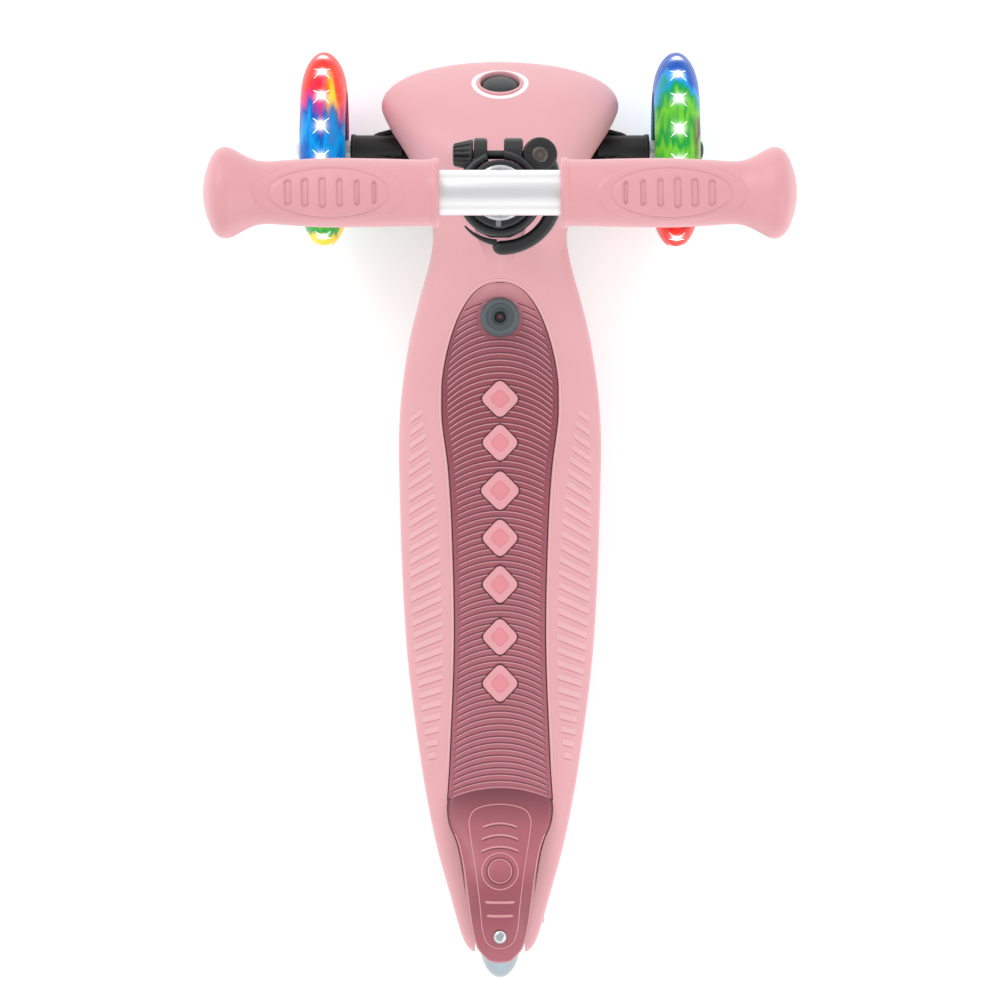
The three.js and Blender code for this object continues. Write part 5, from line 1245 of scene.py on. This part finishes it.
def soft(d, width):
    """1 well inside an edge and 0 well outside it, d being how far out a point is."""
    t = min(max(0.5 - d / width, 0), 1)
    return t**2 * (3 - 2 * t)


def grip_relief(x, angle):
    """The raised oval with its bead and the grooves in it, on the top and the bottom of the grip."""
    lift = 0.0
    for face in (0.5 * math.pi, 1.5 * math.pi):
        w = 16.6 * (angle - face)
        if abs(w) > 21:
            continue
        oval = (math.hypot((x - 82.4) / 34.4, w / 15.3) - 1) * 15.3
        lift += 0.4 * soft(oval, 2.2)
        lift += 0.34 * max(1 - abs(oval) / 0.9, 0)
        lift -= 0.5 * max(1 - abs(oval + 2.4) / 1.1, 0)
        for i in range(6):
            reach = 6.0 - 0.45 * abs(i - 3)
            half = 1.25 + 0.22 * min(i, 3)
            d = math.hypot(x - (60.4 + 8.3 * i), max(abs(w) - reach, 0)) - half
            lift -= 1.05 * soft(d, 1.1)
    return lift


def make_grip(side, name):
    rows = [*np.linspace(GRIP_START, 34, 14), *np.linspace(34.5, 124, 190), *np.linspace(124.6, 142.6, 44),
            142.9, 143.2, 143.4, 143.5]
    around = 168
    verts = []
    for x in rows:
        x = float(x)
        base = grip_radius(x)
        for k in range(around):
            angle = TURN * k / around
            r = base + grip_relief(x, angle)
            verts.append((side * x, r * math.cos(angle), BAR_LENGTH + r * math.sin(angle)))
    faces = quads(len(rows), around, False)
    # the inner end closes onto the bar
    base = len(verts)
    for k in range(around):
        a = TURN * k / around
        verts.append((side * GRIP_START, 11.3 * math.cos(a), BAR_LENGTH + 11.3 * math.sin(a)))
    for k in range(around):
        m = (k + 1) % around
        faces.append((k, base + k, base + m, m))
    dress(build(f"grip_cover_{name}", verts, faces, COLUMN), GRIP, "bar", [f"grip_{name}"],
          sharp=45)


def make_bar():
    cross = rod("crossbar", BAR_RADIUS, -60, 60, "x", (0, 0, BAR_LENGTH), 128, 0.3, COLUMN)
    dress(cross, ALUMINIUM_X, "bar")
    stem = rod("stem", STEM_RADIUS, 172, BAR_LENGTH - 1, bore=11, edge=0.4, place=COLUMN, sides=128)
    stem = carve(stem, [rod("pin_hole", 4.2, 0, 30, "y", (0, 0, 192), 48, 0, COLUMN)])
    dress(stem, ALUMINIUM_Z, "bar", ["handlebar"])
    # the weld round the joint of stem and crossbar
    verts, sides = [], 96
    for i in range(sides):
        a = TURN * i / sides
        y = 12.1 * math.sin(a)
        drop = math.sqrt(max(BAR_RADIUS**2 - min(abs(y), 10.6) ** 2, 0))
        thick = 1.1 + 0.05 * math.sin(34 * a)
        for k in range(8):
            b = TURN * k / 8
            r = 12.3 + thick * math.cos(b)
            verts.append((r * math.cos(a), r * math.sin(a), BAR_LENGTH - drop - 0.4 + thick * math.sin(b)))
    weld = build("weld_bead", verts, quads(sides, 8), COLUMN)
    dress(weld, ALUMINIUM_Z, "bar", sharp=60)
    make_grip(-1, "left")
    make_grip(1, "right")


# ---------------------------------------------------------------- what keeps its CAD shape
def finish_cad():
    finishes = {
        BLACK: ["steering_frame"],
        DARK_STEEL: ["fold_bracket"],
        STEEL: ["bracket_screw", "fold_pivot_pin", "fold_pivot_nut", "latch_pin", "latch_pawl", "tie_rod",
                "rear_axle_nut", "brake_pad", "brake_pin", "brake_spring", "tube_screw", "height_button",
                "height_button_spring"],
        LIGHT_RING: ["light_ring_left", "light_ring_right"],
    }
    for side in ("left", "right"):
        finishes[STEEL] += [f"{part}_{side}" for part in (
            "frame_screw", "kingpin", "centring_spring", "front_spacer", "rear_bearing")]
        finishes[STEEL] += [f"front_bearing_{side}_{number}" for number in (1, 2)]
    for material, names in finishes.items():
        for name in names:
            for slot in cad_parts[name].material_slots:
                slot.material = material


make_deck()
make_nose_ring()
make_side_ribs()
make_mat()
make_motif()
make_bumper()
make_button()
make_brake()
make_front_wheels()
make_rear_wheel()
make_arms()
make_column()
make_clamp()
make_bar()
finish_cad()

# ---------------------------------------------------------------- floor, light and camera
floor_nodes = Nodes("studio_floor")
pale = floor_nodes.ramp(floor_nodes.noise(3, 2),
                        [(0.3, (0.76, 0.76, 0.76, 1)), (0.7, (0.78, 0.78, 0.78, 1))])
floor_nodes.link(pale, floor_nodes.shader.inputs["Base Color"])
floor_nodes.set(Roughness=0.9, Emission_Color=(1, 1, 1, 1), Emission_Strength=0.42)
FLOOR = 9000
corners = [(-FLOOR, -FLOOR, 0), (FLOOR, -FLOOR, 0), (FLOOR, FLOOR, 0), (-FLOOR, FLOOR, 0)]
floor = build("floor", corners, [(0, 1, 2, 3)])
floor.data.materials.append(floor_nodes.material)


def lamp(name, place, size, watts):
    light = bpy.data.lights.new(name, "AREA")
    light.size, light.energy = size, watts
    ob = bpy.data.objects.new(name, light)
    ob.location = place
    ob.rotation_mode = "QUATERNION"
    ob.rotation_quaternion = (Vector((0, 0, 0.1)) - Vector(place)).to_track_quat("-Z", "Y")
    bpy.context.scene.collection.objects.link(ob)


lamp("key", (-1.5, 1.7, 2.3), 1.4, 20)
lamp("fill", (1.8, -1.2, 2.0), 1.8, 12)

world = bpy.data.worlds.new("studio")
bpy.context.scene.world = world
world.use_nodes = True
sky = world.node_tree
background = sky.nodes["Background"]
where = sky.nodes.new("ShaderNodeTexCoord")
split = sky.nodes.new("ShaderNodeSeparateXYZ")
fade = sky.nodes.new("ShaderNodeValToRGB")
# brightness from the horizon to straight overhead, like a ring of soft boxes
elements = fade.color_ramp.elements
elements[0].color = (0.7, 0.7, 0.7, 1)
elements[1].color = (0.66, 0.66, 0.67, 1)
for place, level in ((0.15, 0.95), (0.35, 1.3), (0.55, 1.25), (0.78, 0.8)):
    elements.new(place).color = (level, level, level, 1)
sky.links.new(where.outputs["Generated"], split.inputs[0])
sky.links.new(split.outputs[2], fade.inputs[0])
sky.links.new(fade.outputs[0], background.inputs["Color"])
background.inputs["Strength"].default_value = 1.0
bpy.context.scene.view_settings.view_transform = "Standard"

camera = bpy.data.objects.new("camera", bpy.data.cameras.new("camera"))
bpy.context.scene.collection.objects.link(camera)
camera.data.lens, camera.data.sensor_width = 160, 36
camera.data.clip_start, camera.data.clip_end = 0.05, 50
camera.location = (0, -0.095, 2.8)
target = Vector((0, 0.009, 0.06))
camera.rotation_mode = "QUATERNION"
back = (camera.location - target).normalized()
right = Vector((1, 0, 0))
up = back.cross(right)
camera.rotation_quaternion = Matrix((right, up, back)).transposed().to_quaternion()
bpy.context.scene.camera = camera
